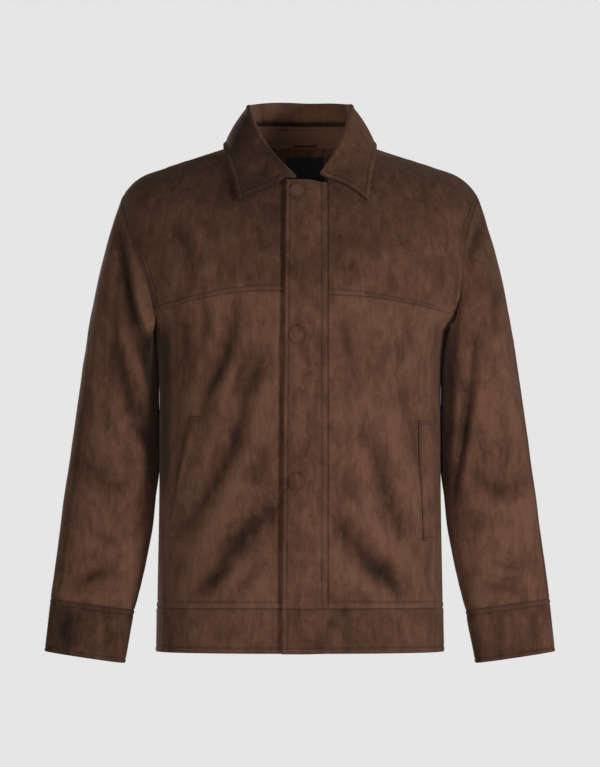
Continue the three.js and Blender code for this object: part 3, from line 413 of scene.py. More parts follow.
def skin(face, angle, m, lift=0.0, detail=True):
    """Skin with its folds: the smooth skin moved along its normal by the lift less the folds' depth, which fades
    where the cloth turns to the side. Returns points, normals and the depth."""
    p, n = smooth_skin(face, angle, m), smooth_normal(face, angle, m)
    x, z = p[..., 0], p[..., 2]
    front = p[..., 1] < 0
    deep = np.where(front, fold_depth(FRONT_FOLDS, x, z), fold_depth(BACK_FOLDS, x, z))
    deep = deep * smooth(np.abs(n[..., 1]) * 2)
    if detail:
        fine = np.where(front, fold_depth(FRONT_WRINKLES, x, z), 0) * smooth(np.abs(n[..., 1]) * 2)
        rough = 0.9 * uneven(p, 74) + 0.45 * uneven(p, 31, 1)
        deep = deep + fine + rough * (1 - 0.9 * smooth((np.abs(n[..., 0]) - 0.75) * 5))
    offset = (lift(x) if callable(lift) else lift) - deep
    return p + n * offset[..., None], n, deep


def coordinates(face, x, z):
    """Angle and way up (m) of the skin at x and z."""
    x, z = np.broadcast_arrays(np.asarray(x, float), np.asarray(z, float))
    key = "back" if face > 0 else "front"
    low = np.arctan2(x, depth_at(x, curve(BODY, "half", z), curve(BODY, key, z)))
    share = np.clip((z - ARMPIT_Z) / (shoulder_z(x, face) - ARMPIT_Z), 0, 1)
    high = angle_at(x, share, body_depth(face))
    below = z <= ARMPIT_Z
    return np.stack([np.where(below, low, high), np.where(below, z - ARMPIT_Z, ARC * np.arcsin(share))], -1)


def angle_at(x, share, depth):
    """Angle of a place across the upper body."""
    return np.arctan2(x, depth_at(x, upper_half(share), mix(depth, SHARED_DEPTH, share)))


def coordinates_from_y(face, x, y):
    """Angle and way up of the skin near the shoulder, at x and y."""
    depth, share = body_depth(face), np.ones(np.broadcast(x, y).shape)
    for _ in range(6):
        reach = face * depth_at(x, upper_half(share), depth) - RIDGE_Y
        share = np.sqrt(1 - np.clip((y - RIDGE_Y) / reach, 0, 1) ** 2)
    return np.stack([angle_at(x, share, depth), ARC * np.arcsin(share)], -1)


def over_the_ridge(at):
    """The same places in the other face's coordinates."""
    return np.stack([at[..., 0], ARC * math.pi - at[..., 1]], -1)


def neck_z(degrees):
    """Height of the front neck seam: a cosine from its lowest point."""
    return mix(NECK_FRONT_Z, SHOULDER_Z, 1 - np.cos(np.radians(degrees)))


def neck_front(side, degrees):
    """Front neck seam in skin coordinates."""
    return coordinates(-1, side * NECK_HALF * np.sin(np.radians(degrees)), neck_z(degrees))


def neck_back(side, degrees):
    """Back neck seam in skin coordinates: half an ellipse seen from above."""
    x = side * NECK_HALF * np.sin(np.radians(degrees))
    return coordinates_from_y(1, x, RIDGE_Y + (NECK_BACK_Y - RIDGE_Y) * np.abs(np.cos(np.radians(degrees))))


def armhole(side, face, place):
    """Armhole seam. place 0 is the shoulder tip, 7 the lower turn and 11 the armpit."""
    key = "back" if face > 0 else ("left" if side > 0 else "right")
    place = np.asarray(place, float)
    low_z = ARMHOLE_LOW[key]
    low = coordinates(face, curve(ARMHOLE, key, low_z), low_z)[..., 1]
    t = np.clip(place / ARMHOLE_UPPER, 0, 1)
    m = mix(low, ARC * math.pi / 2, (1 - t) ** 1.25)
    share, x = np.sin(m / ARC), np.full_like(m, TIP_X)
    for _ in range(8):
        z = mix(ARMPIT_Z, shoulder_z(x, face), share)
        x = curve(ARMHOLE, key, z)
    angle = side * angle_at(x, share, body_depth(face))
    under = np.clip((place - ARMHOLE_UPPER) / ARMHOLE_UNDER, 0, 1)
    return np.stack([mix(angle, side * math.pi / 2, under), m * (1 - under) ** 1.7], -1)


def side_seam(side, face, t):
    """Side seam from the armpit to the waist; it eases round to the front."""
    turned = (90 - SEAM_ANGLE) * smooth(t)
    return np.stack([side * np.radians(90 + face * turned), mix(0, WAIST_Z - ARMPIT_Z, t)], -1)


def blend(low, high, start, end, u, v):
    """Grid of skin coordinates between four edges, meeting each of them (a Coons patch)."""
    u, v = u[None, :, None], v[:, None, None]
    corners = mix(mix(low[0], low[-1], u), mix(high[0], high[-1], u), v)
    return mix(low[None], high[None], v) + mix(start[:, None], end[:, None], u) - corners


# ---- cloth walls and sewing -----------------------------------------------------------------------------------
NEAR_EDGE = np.array([0, 0.35, 0.8, 1.4, 2.2, 3.2, 4.3, 5.1, 5.9, 6.7, 7.5, 8.3, 9.4, 11.2, 13.6])


def spread(length, step, keep=()):
    """Places from 0 to 1: close together near both ends, where the sewing is, and even between them."""
    near = NEAR_EDGE / length
    even = np.linspace(0, 1, max(3, round(length / step)) + 1)
    gap = near[-1] + 0.4 * step / length
    t = np.concatenate([near, even[(even > gap) & (even < 1 - gap)], 1 - near])
    for k in keep:
        t = np.append(t[np.abs(t - k) > 0.45 * step / length], k)
    return np.unique(np.round(t, 7))


def edge(roll=1.3, reach=2.2, rows=(), ridge=0.0, pucker=0.3, free=False):
    """How a piece ends: how far it rolls down and over what width, its rows of stitches (mm in from the edge), the
    swelling between edge and stitches, the puckering, and whether it is a free folded edge."""
    return {"roll": roll, "reach": reach, "rows": rows, "ridge": ridge, "pucker": pucker, "free": free}


def edge_distances(p):
    """Length along the grid from each of its four edges."""
    def run(steps, axis):
        total = np.cumsum(steps, axis=axis)
        pad = [(0, 0), (0, 0)]
        pad[axis] = (1, 0)
        return np.pad(total, pad)

    up = run(np.linalg.norm(np.diff(p, axis=0), axis=-1), 0)
    across = run(np.linalg.norm(np.diff(p, axis=1), axis=-1), 1)
    return {"low": (up, across), "high": (up[-1:] - up, across),
            "start": (across, up), "end": (across[:, -1:] - across, up)}


def grid_normals(p, guide, closed=False):
    """Cross product of the grid's two directions, turned the way of the guide."""
    if closed:
        around = np.roll(p, -1, 1) - np.roll(p, 1, 1)
    else:
        around = np.gradient(p, axis=1)
    n = unit(np.cross(around, np.gradient(p, axis=0)))
    return n * np.where(np.sum(n * guide, -1) < 0, -1, 1)[..., None]


def sewn(p, n, edges, closed=False):
    """Relief of a piece's edges and stitch rows, along its normal.

    Roll: a quarter round of the edge's depth and reach. Stitch row: a narrow bell 0.7 deep. Ridge: half a sine
    between the edge and the row. Pucker: waves along the seam that die out 14 mm from it.
    """
    total, roll_all, inner = np.zeros(p.shape[:2]), np.zeros(p.shape[:2]), np.zeros(p.shape[:2])
    for name, (d, along) in edge_distances(p).items():
        e = edges.get(name)
        if e is None or (closed and name in ("start", "end")):
            continue
        near = np.clip(1 - d / e["reach"], 0, 1)
        roll = e["roll"] * (1 - np.sqrt(np.maximum(0, 1 - near**2)))
        roll_all = np.maximum(roll_all, roll)
        if e["free"]:
            inner = np.maximum(inner, 0.55 * roll)
        for row in e["rows"]:
            total -= 0.7 * np.exp(-(((d - row) / 1.1) ** 2))
        if e["rows"]:
            total += e["ridge"] * np.sin(np.pi * np.clip(d / e["rows"][0], 0, 1))
        wave = uneven(np.stack([along / 7.5, d / 26, np.full_like(d, len(name))], -1), 1.0)
        total += e["pucker"] * wave * np.exp(-d / 9.0) * smooth(d / 2)
    return total - roll_all, inner, roll_all


def wall(name, outer, inner, closed=False, values=None):
    """Closed mesh of an outer grid, the inner grid behind it and the rims that join them."""
    rows, cols = outer.shape[:2]
    index = np.arange(rows * cols).reshape(rows, cols)
    here = index if closed else index[:, :-1]
    there = np.roll(index, -1, 1) if closed else index[:, 1:]
    back = rows * cols
    front = np.stack([here[:-1], there[:-1], there[1:], here[1:]], -1).reshape(-1, 4)
    quads = [front, front[:, ::-1] + back]
    low = np.stack([here[0], here[0] + back, there[0] + back, there[0]], -1)
    high = np.stack([there[-1], there[-1] + back, here[-1] + back, here[-1]], -1)
    quads += [low, high]
    if not closed:
        a, b = index[:-1, 0], index[1:, 0]
        quads.append(np.stack([b, b + back, a + back, a], -1))
        a, b = index[:-1, -1], index[1:, -1]
        quads.append(np.stack([a, a + back, b + back, b], -1))
    quads = np.concatenate(quads)
    points = np.concatenate([outer.reshape(-1, 3), inner.reshape(-1, 3)])
    return solid(name, points, quads, values)


def solid(name, points, faces, values=None):
    """Object from points in millimetres and faces of one size, with its faces turned outwards."""
    p = points[faces]
    if np.sum(np.cross(p[:, 0], p[:, 1]) * p[:, 2]) + (
        np.sum(np.cross(p[:, 0], p[:, 2]) * p[:, 3]) if faces.shape[1] == 4 else 0
    ) < 0:
        faces = faces[:, ::-1]
    mesh = bpy.data.meshes.new(name)
    size = faces.shape[1]
    mesh.vertices.add(len(points))
    mesh.vertices.foreach_set("co", (points / 1000).astype(np.float32).ravel())
    mesh.loops.add(faces.size)
    mesh.loops.foreach_set("vertex_index", faces.astype(np.int32).ravel())
    mesh.polygons.add(len(faces))
    mesh.polygons.foreach_set("loop_start", np.arange(0, faces.size, size, dtype=np.int32))
    mesh.polygons.foreach_set("use_smooth", np.ones(len(faces), bool))
    for key, value in (values or {}).items():
        attribute = mesh.attributes.new(key, "FLOAT", "POINT")
        attribute.data.foreach_set("value", value.astype(np.float32).ravel())
    mesh.update(calc_edges=True)
    mesh.validate()
    made = bpy.data.objects.new(name, mesh)
    bpy.context.scene.collection.objects.link(made)
    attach(made, "root")
    return made


THREADS = {}


def stitch_rows(group, p, n, edges, skip=None):
    """Lines of stitches on a finished grid, kept for the thread piece: for each row of each edge, the points at
    that distance from the edge, by straight lines between grid points."""
    for name, (d, _) in edge_distances(p).items():
        e = edges.get(name)
        if e is None:
            continue
        for row in e["rows"]:
            flip = name in ("start", "end")
            dd, pp, nn = (np.swapaxes(a, 0, 1) if flip else a for a in (d, p, n))
            if name in ("high", "end"):
                dd, pp, nn = dd[::-1], pp[::-1], nn[::-1]
            i = np.clip(np.sum(dd < row, axis=0), 1, len(dd) - 1)
            j = np.arange(dd.shape[1])
            t = ((row - dd[i - 1, j]) / np.maximum(dd[i, j] - dd[i - 1, j], 1e-9))[:, None]
            line = mix(pp[i - 1, j], pp[i, j], t)
            THREADS.setdefault(group, []).append((line, mix(nn[i - 1, j], nn[i, j], t), skip))


def cloth_piece(name, p, guide, edges, options):
    """One sewn piece from its base grid: relief, thickness, attributes, mesh, stitches and material; it hides the
    model's part it stands for.
    """
    sewing = bpy.context.scene.jacket_sewing
    thick = options.get("thick", sewing.cloth * 1000)
    closed = options.get("closed", False)
    n = grid_normals(p, guide, closed)
    relief, inner_lift, roll = sewn(p, n, edges, closed)
    relief = relief + options.get("relief", 0)
    outer = p + n * relief[..., None]
    inner = p + n * (inner_lift - thick)[..., None]
    folded = np.broadcast_to(options.get("deep", 0.0), p.shape[:2])
    # Painted shade: darker in fold troughs and along the rolled edges of seams; the tone adds each piece's own tone
    # together with painted shade and painted light.
    tone_and_shade = folded / 4.8 + roll * 0.8 - np.minimum(relief + roll, 0) * 0.8
    tone_and_shade = np.clip(tone_and_shade + options.get("tone", tone_and_shade_of(name, p)), -1.2, 2.0)
    both = np.concatenate([tone_and_shade.ravel(), np.full(tone_and_shade.size, 0.25)])
    made = wall(f"{name}_cloth", outer, inner, closed, {"tone_and_shade": both})
    stitch_rows(options.get("group", "body"), outer, grid_normals(outer, guide, closed), edges)
    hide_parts(*options.get("nodes", (name,)))
    made.data.materials.append(finish(options.get("finish", "suede")))
    return made


# Tone at the foot and at the head of a piece, against the rest: above zero it is darker. Partly the hide's own tone
# from piece to piece, partly painted shade and light: the yokes darken towards the shoulders and the collar stand is
# painted lighter inside the neck.
HIDE_TONE_AND_SHADE = {
    "front_yoke_right": (0.2, 0.9), "front_yoke_left": (0.15, 0.8), "back_yoke": (0.45, 0.2),
    "sleeve_front_right": (0.0, 0.25), "sleeve_front_left": (0.0, 0.15),
    "cuff_right": (0.75, 0.75), "cuff_left": (0.45, 0.4),
    "hem_band_right": (0.15, 0.15), "hem_band_left": (0.35, 0.35), "hem_band_back": (0.2, 0.2),
    "placket": (0.2, 0.35), "collar_stand": (-0.8, -0.8),
}


def tone_and_shade_of(name, p):
    """Tone of a piece, partly the hide's own and partly painted shade and light: it changes evenly from the piece's
    lowest point to its highest.
    """
    low, high = HIDE_TONE_AND_SHADE.get(name, (0.0, 0.0))
    z = p[..., 2]
    return mix(low, high, (z - z.min()) / (z.max() - z.min()))


def beside_body(z):
    """Painted shade where a sleeve hangs against the body: fades in under the armpit and out by the elbow."""
    return smooth((-238 - z) / 28) * smooth((z + 500) / 70)


def skin_piece(name, face, grid, edges, lift=0.0, **options):
    """A piece that lies on the body's skin: a grid of skin coordinates, some way off it."""
    p, n, deep = skin(face, grid[..., 0], grid[..., 1], lift)
    made = cloth_piece(name, p, n, edges, {"deep": deep, **options})
    return made


# ---- the jacket's seams as lines of skin coordinates -----------------------------------------------------------
CORNER_X = {"right": UNDERLAP_X, "left": PLACKET_SEAM_X}


def placket_lift(x):
    """Height of the placket over the skin: nothing at its seam, full from the flat part on."""
    return PLACKET_LIFT * smooth((PLACKET_SEAM_X - x) / (PLACKET_SEAM_X - PLACKET_FLAT))


def placket_edge(z):
    """Free edge of the placket, leaning out a little on its way down."""
    fall = np.clip((PLACKET_TOP - z) / (PLACKET_TOP - HEM_Z), 0, 1)
    return mix(PLACKET_EDGE_TOP, PLACKET_EDGE_LOW, fall**1.3)


def yoke_seam(key, u):
    """Yoke seam of a front, from the centre to the armhole."""
    side, corner = SIDES[key], CORNER_X[key]
    end_x = side * curve(ARMHOLE, key, ARMHOLE_LOW[key])
    x = mix(corner, end_x, u)
    at = coordinates(-1, x, curve(YOKE, key, np.abs(x)))
    end = armhole(side, -1, ARMHOLE_UPPER)
    return at + (end - coordinates(-1, end_x, curve(YOKE, key, abs(end_x)))) * smooth((u - 0.85) / 0.15)[:, None]


def shoulder_seam(side, t):
    """Shoulder seam from the neck (t 0) to the tip (t 1), in the front's coordinates."""
    x = mix(SHOULDER_SEAM["at"][0], TIP_X, t)
    at = coordinates_from_y(-1, side * x, curve(SHOULDER_SEAM, "y", x))
    start = coordinates_from_y(-1, side * SHOULDER_SEAM["at"][0], SHOULDER_SEAM["y"][0])
    shift_start = neck_front(side, NECK_SEAM_ANGLE) - start
    shift_end = armhole(side, -1, 0) - coordinates_from_y(-1, side * TIP_X, RIDGE_Y)
    return at + shift_start * (1 - smooth(t / 0.15))[:, None] + shift_end * smooth((t - 0.9) / 0.1)[:, None]


def back_yoke_seam(t):
    """Back yoke seam from the right armhole to the left."""
    end = armhole(1, 1, 5)
    x_end = smooth_skin(1, end[0], end[1])[0]
    at = coordinates(1, mix(-x_end, x_end, t), BACK_YOKE_Z)
    shift = end - coordinates(1, x_end, BACK_YOKE_Z)
    at = at + shift * smooth((t - 0.93) / 0.07)[:, None]
    return at + shift * np.array([-1, 1]) * smooth((0.07 - t) / 0.07)[:, None]


NECK_PART = 5 / 12


def front_yoke_grid(key, u, v):
    """Front yoke between the yoke seam, the neck and shoulder seams, the centre and the armhole."""
    side, corner = SIDES[key], CORNER_X[key]
    start = side * math.degrees(math.asin(corner / NECK_HALF))
    neck = neck_front(side, mix(start, NECK_SEAM_ANGLE, np.clip(u / NECK_PART, 0, 1)))
    shoulder = shoulder_seam(side, np.clip((u - NECK_PART) / (1 - NECK_PART), 0, 1))
    top = np.where((u <= NECK_PART)[:, None], neck, shoulder)
    centre = coordinates(-1, corner, mix(curve(YOKE, key, corner), neck_z(start), v))
    return blend(yoke_seam(key, u), top, centre, armhole(side, -1, ARMHOLE_UPPER * (1 - v)), u, v)


SIDE_PART = 15 / 19


def front_panel_grid(key, u, v):
    """Front panel between waist, yoke seam, centre and the side seam with the lower armhole."""
    side, corner = SIDES[key], CORNER_X[key]
    seam = side_seam(side, -1, np.clip(1 - v / SIDE_PART, 0, 1))
    scoop = armhole(side, -1, 11 - 4 * np.clip((v - SIDE_PART) / (1 - SIDE_PART), 0, 1))
    outside = np.where((v <= SIDE_PART)[:, None], seam, scoop)
    centre = coordinates(-1, corner, mix(WAIST_Z, curve(YOKE, key, corner), v))
    waist = np.stack([mix(centre[0, 0], outside[0, 0], u), np.full_like(u, WAIST_Z - ARMPIT_Z)], -1)
    return blend(waist, yoke_seam(key, u), centre, outside, u, v)


def back_yoke_grid(u, v):
    """Back yoke: columns run out from the neck seam (v 0) to the armholes and the yoke seam (v 1)."""
    turn = mix(NECK_SEAM_ANGLE, 360 - NECK_SEAM_ANGLE, u)
    side = np.where(turn <= 180, -1, 1)
    degrees = np.where(turn <= 180, turn, 360 - turn)
    neck = np.where((degrees <= 90)[:, None], over_the_ridge(neck_front(side, degrees)), neck_back(side, degrees))
    part = 5 / 28
    right = armhole(-1, 1, np.clip(u * 28, 0, 5))
    left = armhole(1, 1, np.clip((1 - u) * 28, 0, 5))
    seam = back_yoke_seam(np.clip((u - part) / (1 - 2 * part), 0, 1))
    outside = np.where((u < part)[:, None], right, np.where((u > 1 - part)[:, None], left, seam))
    start, end = (over_the_ridge(shoulder_seam(s, v)) for s in (-1, 1))
    return blend(neck, outside, start, end, u, v)


BACK_SIDE_PART = 15 / 21


def back_panel_grid(u, v):
    """Back panel between waist, back yoke seam and the two sides with their lower armholes."""
    def outside(side):
        seam = side_seam(side, 1, np.clip(1 - v / BACK_SIDE_PART, 0, 1))
        scoop = armhole(side, 1, 11 - 6 * np.clip((v - BACK_SIDE_PART) / (1 - BACK_SIDE_PART), 0, 1))
        return np.where((v <= BACK_SIDE_PART)[:, None], seam, scoop)

    start, end = outside(-1), outside(1)
    low = np.stack([mix(start[0, 0], end[0, 0], u), np.full_like(u, WAIST_Z - ARMPIT_Z)], -1)
    return blend(low, back_yoke_seam(u), start, end, u, v)


# ---- sleeves ---------------------------------------------------------------------------------------------------
def sleeve_point(side, row, degrees):
    """Superellipse section between the row's outer and inner points, with its own depths before and behind."""
    a = np.radians(degrees)
    power = 2 / SLEEVE_SQUARE
    across = np.sign(np.cos(a)) * np.abs(np.cos(a)) ** power
    front = np.sign(np.sin(a)) * np.abs(np.sin(a)) ** power
    x = mix((row["outer_x"] + row["inner_x"]) / 2, row["outer_x"], across)
    z = mix((row["outer_z"] + row["inner_z"]) / 2, row["outer_z"], across)
    y = row["y"] - np.where(front > 0, row["front"], row["back"]) * front
    return np.stack([side * x, y + 0 * x, z], -1)


def sleeve_row(at):
    """Section sizes at a place down the sleeve, shaped for a column of sections."""
    return {key: curve(SLEEVE, key, at)[:, None] for key in SLEEVE if key != "at"}


def even_angles(key, at, s):
    """Degrees round a section: evenly from the outer seam over the front to the inner seam, then round the back."""
    low = SLEEVE_SEAM_LOW[key]
    seam = mix(SLEEVE_SEAM_CAP, low, smooth(at / SLEEVE_SEAM_SETTLED))[:, None]
    front = mix(seam, 180, s / CAP_FRONT)
    back = mix(180, 360 + seam, (s - CAP_FRONT) / (CAP_LOOP - CAP_FRONT))
    return np.where(s <= CAP_FRONT, front, back)


def armhole_loop(side, s):
    """Armhole all round, on the folded skin: s 0 just behind the tip, 1 the tip, 12 the armpit, 22 the start."""
    front = armhole(side, -1, np.clip(s - 1, 0, 11))
    behind = armhole(side, 1, np.where(s < 1, 1 - s, np.clip(23 - s, 0, 11)))
    on_front = skin(-1, front[:, 0], front[:, 1])[0]
    on_back = skin(1, behind[:, 0], behind[:, 1])[0]
    return np.where(((s >= 1) & (s <= 12))[:, None], on_front, on_back)


def sleeve_grid(key, at, s):
    """Sleeve rings: the armhole's own loop, which eases by section 3 into the plain sections, with its creases."""
    side = SIDES[key]
    loop = armhole_loop(side, s)
    whole = armhole_loop(side, np.linspace(0, CAP_LOOP, 200))
    high, low = whole[:, 2].max(), whole[:, 2].min()
    across = np.clip((loop[:, 2] - (high + low) / 2) / ((high - low) / 2), -1, 1)
    own = np.degrees(np.arccos(np.sign(across) * np.abs(across) ** (SLEEVE_SQUARE / 2)))
    own = np.where(s < 1, -own, np.where(s > CAP_FRONT, 360 - own, own))
    degrees = mix(own[None], even_angles(key, at, s[None]), smooth(at / SLEEVE_SEAM_SETTLED)[:, None])
    start = sleeve_point(side, sleeve_row(np.zeros(1)), own[None])
    left = (1 - smooth(at / CAP_EASE))[:, None, None]
    p = sleeve_point(side, sleeve_row(at), degrees) + (loop[None] - start) * left
    tucked = 2.6 * smooth(1 - np.abs(s[None] - CAP_FRONT) / 4.5) * (1 - smooth(at / 1.2))[:, None]
    return p - np.stack([side * tucked, 0 * tucked, 0 * tucked], -1)


def sleeve_guide(p, at):
    """Rough direction out of the sleeve: away from the middle line of its sections."""
    row = sleeve_row(at)
    side = np.sign(p[..., 0])
    middle = np.stack(
        [side * (row["outer_x"] + row["inner_x"]) / 2, row["y"] + 0 * p[..., 0],
         (row["outer_z"] + row["inner_z"]) / 2 + 0 * p[..., 0]], -1)
    return unit(p - middle)


# ---- collar ----------------------------------------------------------------------------------------------------
def neck_point(turn):
    """Neck seam in space, degrees from the front through the wearer's right, and the way out from its oval."""
    side = np.where(turn <= 180, -1, 1)
    degrees = np.where(turn <= 180, turn, 360 - turn)
    front, back = neck_front(side, np.minimum(degrees, 90)), neck_back(side, np.maximum(degrees, 90))
    p = np.where((degrees <= 90)[:, None],
                 smooth_skin(-1, front[:, 0], front[:, 1]), smooth_skin(1, back[:, 0], back[:, 1]))
    depth = np.where(p[:, 1] < RIDGE_Y, NECK_FRONT_DEPTH, NECK_BACK_Y - RIDGE_Y)
    out = np.stack([p[:, 0] / NECK_HALF**2, (p[:, 1] - RIDGE_Y) / depth**2, 0 * depth], -1)
    return p, unit(out)


def collar_height(turn):
    """Height of the collar: it rises from its ends by a curve that levels off, less a bell over each side of the
    neck, and stands tallest behind it."""
    marks = np.linspace(COLLAR_FROM, COLLAR_TO, 400)
    line = np.concatenate([[0], np.cumsum(np.linalg.norm(np.diff(neck_point(marks)[0], axis=0), axis=1))])
    middle = (COLLAR_FROM + COLLAR_TO) / 2
    along = np.interp(turn, marks, line)
    run = np.where(turn < middle, along, line[-1] - along)
    behind = np.abs(along - np.interp(180, marks, line))
    dip = np.where(turn < 180, COLLAR_DIP["right"], COLLAR_DIP["left"])
    dip = dip * np.exp(-(((behind - COLLAR_DIP_PLACE) / COLLAR_DIP_WIDTH) ** 2))
    return COLLAR_END + COLLAR_RISE * (1 - np.exp(-run / COLLAR_REACH)) - dip


def stand_point(turn, share, extra=0.0):
    """Place on the stand: up by a share of the collar's height, leaning in towards the neck."""
    p, out = neck_point(turn)
    height = collar_height(turn)
    lean = COLLAR_LEAN * (height / COLLAR_TALL) * smooth(mix(0.1, 0.9, share))
    return p + out * (extra - lean)[:, None] + np.stack([0 * height, 0 * height, height * share], -1)


def clear_of_body(p, clearance):
    """Moves points straight out of the upper body until they clear it."""
    face = np.where(p[..., 1] > RIDGE_Y, 1, -1)
    rise = shoulder_z(p[..., 0], face) - ARMPIT_Z
    depth = depth_at(p[..., 0], upper_half(1.0), body_depth(face))
    reach = np.abs(face * depth - RIDGE_Y)
    share, forward = (p[..., 2] - ARMPIT_Z) / rise, (p[..., 1] - RIDGE_Y) / reach
    size = np.hypot(share, forward)
    wanted = 1 + clearance * np.hypot(share / rise, forward / reach) / size
    grow = np.where(size >= wanted, 1, wanted / size)
    y = RIDGE_Y + (p[..., 1] - RIDGE_Y) * grow
    return np.stack([p[..., 0], y, ARMPIT_Z + (p[..., 2] - ARMPIT_Z) * grow], -1)


def leaf_edge(turn):
    """Free edge of the collar leaf."""
    right = np.stack([-curve(LEAF_RIGHT, "x", turn), curve(LEAF_RIGHT, "y", turn), curve(LEAF_RIGHT, "z", turn)], -1)
    t = 360 - turn
    left = np.stack([curve(LEAF_LEFT, "x", t), curve(LEAF_LEFT, "y", t), curve(LEAF_LEFT, "z", t)], -1)
    return np.where((turn <= 180)[:, None], right, left)


def collar_grid(turn, places):
    """Collar sections: up the inside, over the roll (four points on an arc) and down the leaf in six steps to its
    edge, swelling by a sine; a smooth line runs through these points."""
    height = collar_height(turn)
    roll = mix(2.4, 4.8, height / COLLAR_TALL)[:, None]
    _, out = neck_point(turn)
    up = np.array([0, 0, 1.0])
    inside = [stand_point(turn, STAND_SHARE + 0.5 / height), stand_point(turn, 0.72 + 0 * turn),
              stand_point(turn, 0.92 + 0 * turn)]
    crown = inside[2] + out * roll
    crest = []
    for degrees in (50, 100, 150, 185):
        a = math.radians(degrees)
        crest.append(crown - out * roll * math.cos(a) + up * roll * 1.15 * math.sin(a))
    tip = leaf_edge(turn)
    fall = []
    for t in np.arange(1, 7) / 6:
        swell = COLLAR_BULGE * math.sin(math.pi * t)
        p = mix(crest[-1], tip, t) + out * swell + up * swell * 0.6
        over = placket_lift(p[:, 0]) * smooth((p[:, 0] - PLACKET_EDGE_TOP + 14) / 12)
        fall.append(clear_of_body(p, 4 + 1.6 * smooth(t * 2) + over))
    return through(np.stack(inside + crest + fall), places)


def collar_turns(t):
    """Degrees of the collar's columns, closer together towards its ends."""
    return mix(COLLAR_FROM, COLLAR_TO, t - (0.35 / (2 * math.pi)) * np.sin(2 * np.pi * t))


# ---- finishes --------------------------------------------------------------------------------------------------
FINISHES = {}


def finish(key):
    """The material of a finish, made once."""
    if key not in FINISHES:
        FINISHES[key] = MAKERS[key]()
    return FINISHES[key]


def new_material(name):
    """Empty node material with a Principled shader; returns it and two helpers to add and join nodes."""
    material = bpy.data.materials.new(name)
    material.use_nodes = True
    nodes, links = material.node_tree.nodes, material.node_tree.links
    shader = nodes["Principled BSDF"]

    def node(kind, inputs=None, **settings):
        made = nodes.new(kind)
        for key, value in settings.items():
            setattr(made, key, value)
        for key, value in (inputs or {}).items():
            if isinstance(value, bpy.types.NodeSocket):
                links.new(value, made.inputs[key])
            else:
                made.inputs[key].default_value = value
        return made

    return material, shader, node, links


def ramp(node, factor, stops):
    """Colour ramp through stops of (place, colour)."""
    made = node("ShaderNodeValToRGB", {"Fac": factor})
    elements = made.color_ramp.elements
    while len(elements) < len(stops):
        elements.new(0.5)
    for element, (place, colour) in zip(elements, stops):
        element.position, element.color = place, (*colour, 1)
    return made.outputs["Color"]


def noise(node, where, scale, detail=3.0, rough=0.55, warp=0.0):
    """Noise value, from 0 to 1, at a scale in features to a metre."""
    made = node("ShaderNodeTexNoise", {"Vector": where, "Scale": scale, "Detail": detail,
                                       "Roughness": rough, "Distortion": warp})
    return made.outputs["Fac"]


def math_node(node, operation, a, b=0.0):
    """One arithmetic step."""
    return node("ShaderNodeMath", {0: a, 1: b}, operation=operation).outputs[0]


def suede(name, dark, middle, light, nap_depth):
    """Suede: brushed nap that shades in soft patches, with a short grain and a dusty sheen; the attribute paints shade
    in creases, seams and beside the sleeves, and carries each piece's tone.
    """
    material, shader, node, links = new_material(name)
    where = node("ShaderNodeTexCoord").outputs["Object"]
    squashed = node("ShaderNodeMapping", {"Vector": where, "Scale": (1.0, 1.0, 0.42),
                                          "Rotation": (0.0, 0.35, 0.2)}).outputs["Vector"]
    patches = noise(node, where, 14, 4, 0.62, 0.8)
    brushed = noise(node, squashed, 85, 4, 0.65, 0.5)
    grain = noise(node, where, 620, 3, 0.7)
    tone_and_shade = node("ShaderNodeAttribute", attribute_name="tone_and_shade").outputs["Fac"]
    shade = math_node(node, "MULTIPLY", patches, 0.36)
    shade = math_node(node, "ADD", shade, math_node(node, "MULTIPLY", brushed, 0.50))
    shade = math_node(node, "ADD", shade, math_node(node, "MULTIPLY", grain, 0.30))
    # Painted shade: the attribute darkens folds, seams, the collar's foot and the body beside the sleeves, and adds
    # each piece's tone.
    shade = math_node(node, "SUBTRACT", shade, math_node(node, "MULTIPLY", tone_and_shade, 0.23))
    # Painted shade: the deepest stop, a quarter of the dark colour, paints the near-black shadow of deep creases and
    # gaps.
    deepest = tuple(c * 0.25 for c in dark)
    colour = ramp(node, shade, ((0.12, deepest), (0.33, dark), (0.495, middle), (0.675, light)))
    links.new(colour, shader.inputs["Base Color"])
    shader.inputs["Roughness"].default_value = 0.93
    shader.inputs["Specular IOR Level"].default_value = 0.18
    shader.inputs["Sheen Weight"].default_value = 0.14
    shader.inputs["Sheen Roughness"].default_value = 0.55
    shader.inputs["Sheen Tint"].default_value = (0.80, 0.52, 0.38, 1)
    fine = node("ShaderNodeBump", {"Height": grain, "Strength": 0.55, "Distance": nap_depth})
    coarse = node("ShaderNodeBump", {"Height": brushed, "Strength": 0.5, "Distance": nap_depth * 3.2,
                                     "Normal": fine.outputs["Normal"]})
    links.new(coarse.outputs["Normal"], shader.inputs["Normal"])
    return material


def linear(colour):
    """A colour property as three numbers."""
    return tuple(colour)[:3]


def make_suede():
    """Outside suede."""
    tones = bpy.context.scene.jacket_finish
    return suede("suede", linear(tones.dark), linear(tones.middle), linear(tones.light), 0.0006)


def make_facing():
    """Suede of the neck facing, its colours scaled by the facing factor; at the default this is painted light, lighter
    than the outside.
    """
    tones = bpy.context.scene.jacket_finish
    darker = [tuple(c * tones.facing for c in linear(t)) for t in (tones.dark, tones.middle, tones.light)]
    return suede("suede_facing", *darker, 0.0005)


def make_thread():
    """Twisted thread, a little darker than the suede."""
    material, shader, node, links = new_material("thread")
    where = node("ShaderNodeTexCoord").outputs["Object"]
    tone = noise(node, where, 900, 2)
    base = linear(bpy.context.scene.jacket_finish.thread)
    links.new(ramp(node, tone, ((0.3, tuple(c * 0.7 for c in base)), (0.7, base))), shader.inputs["Base Color"])
    shader.inputs["Roughness"].default_value = 0.7
    shader.inputs["Sheen Weight"].default_value = 0.2
    return material


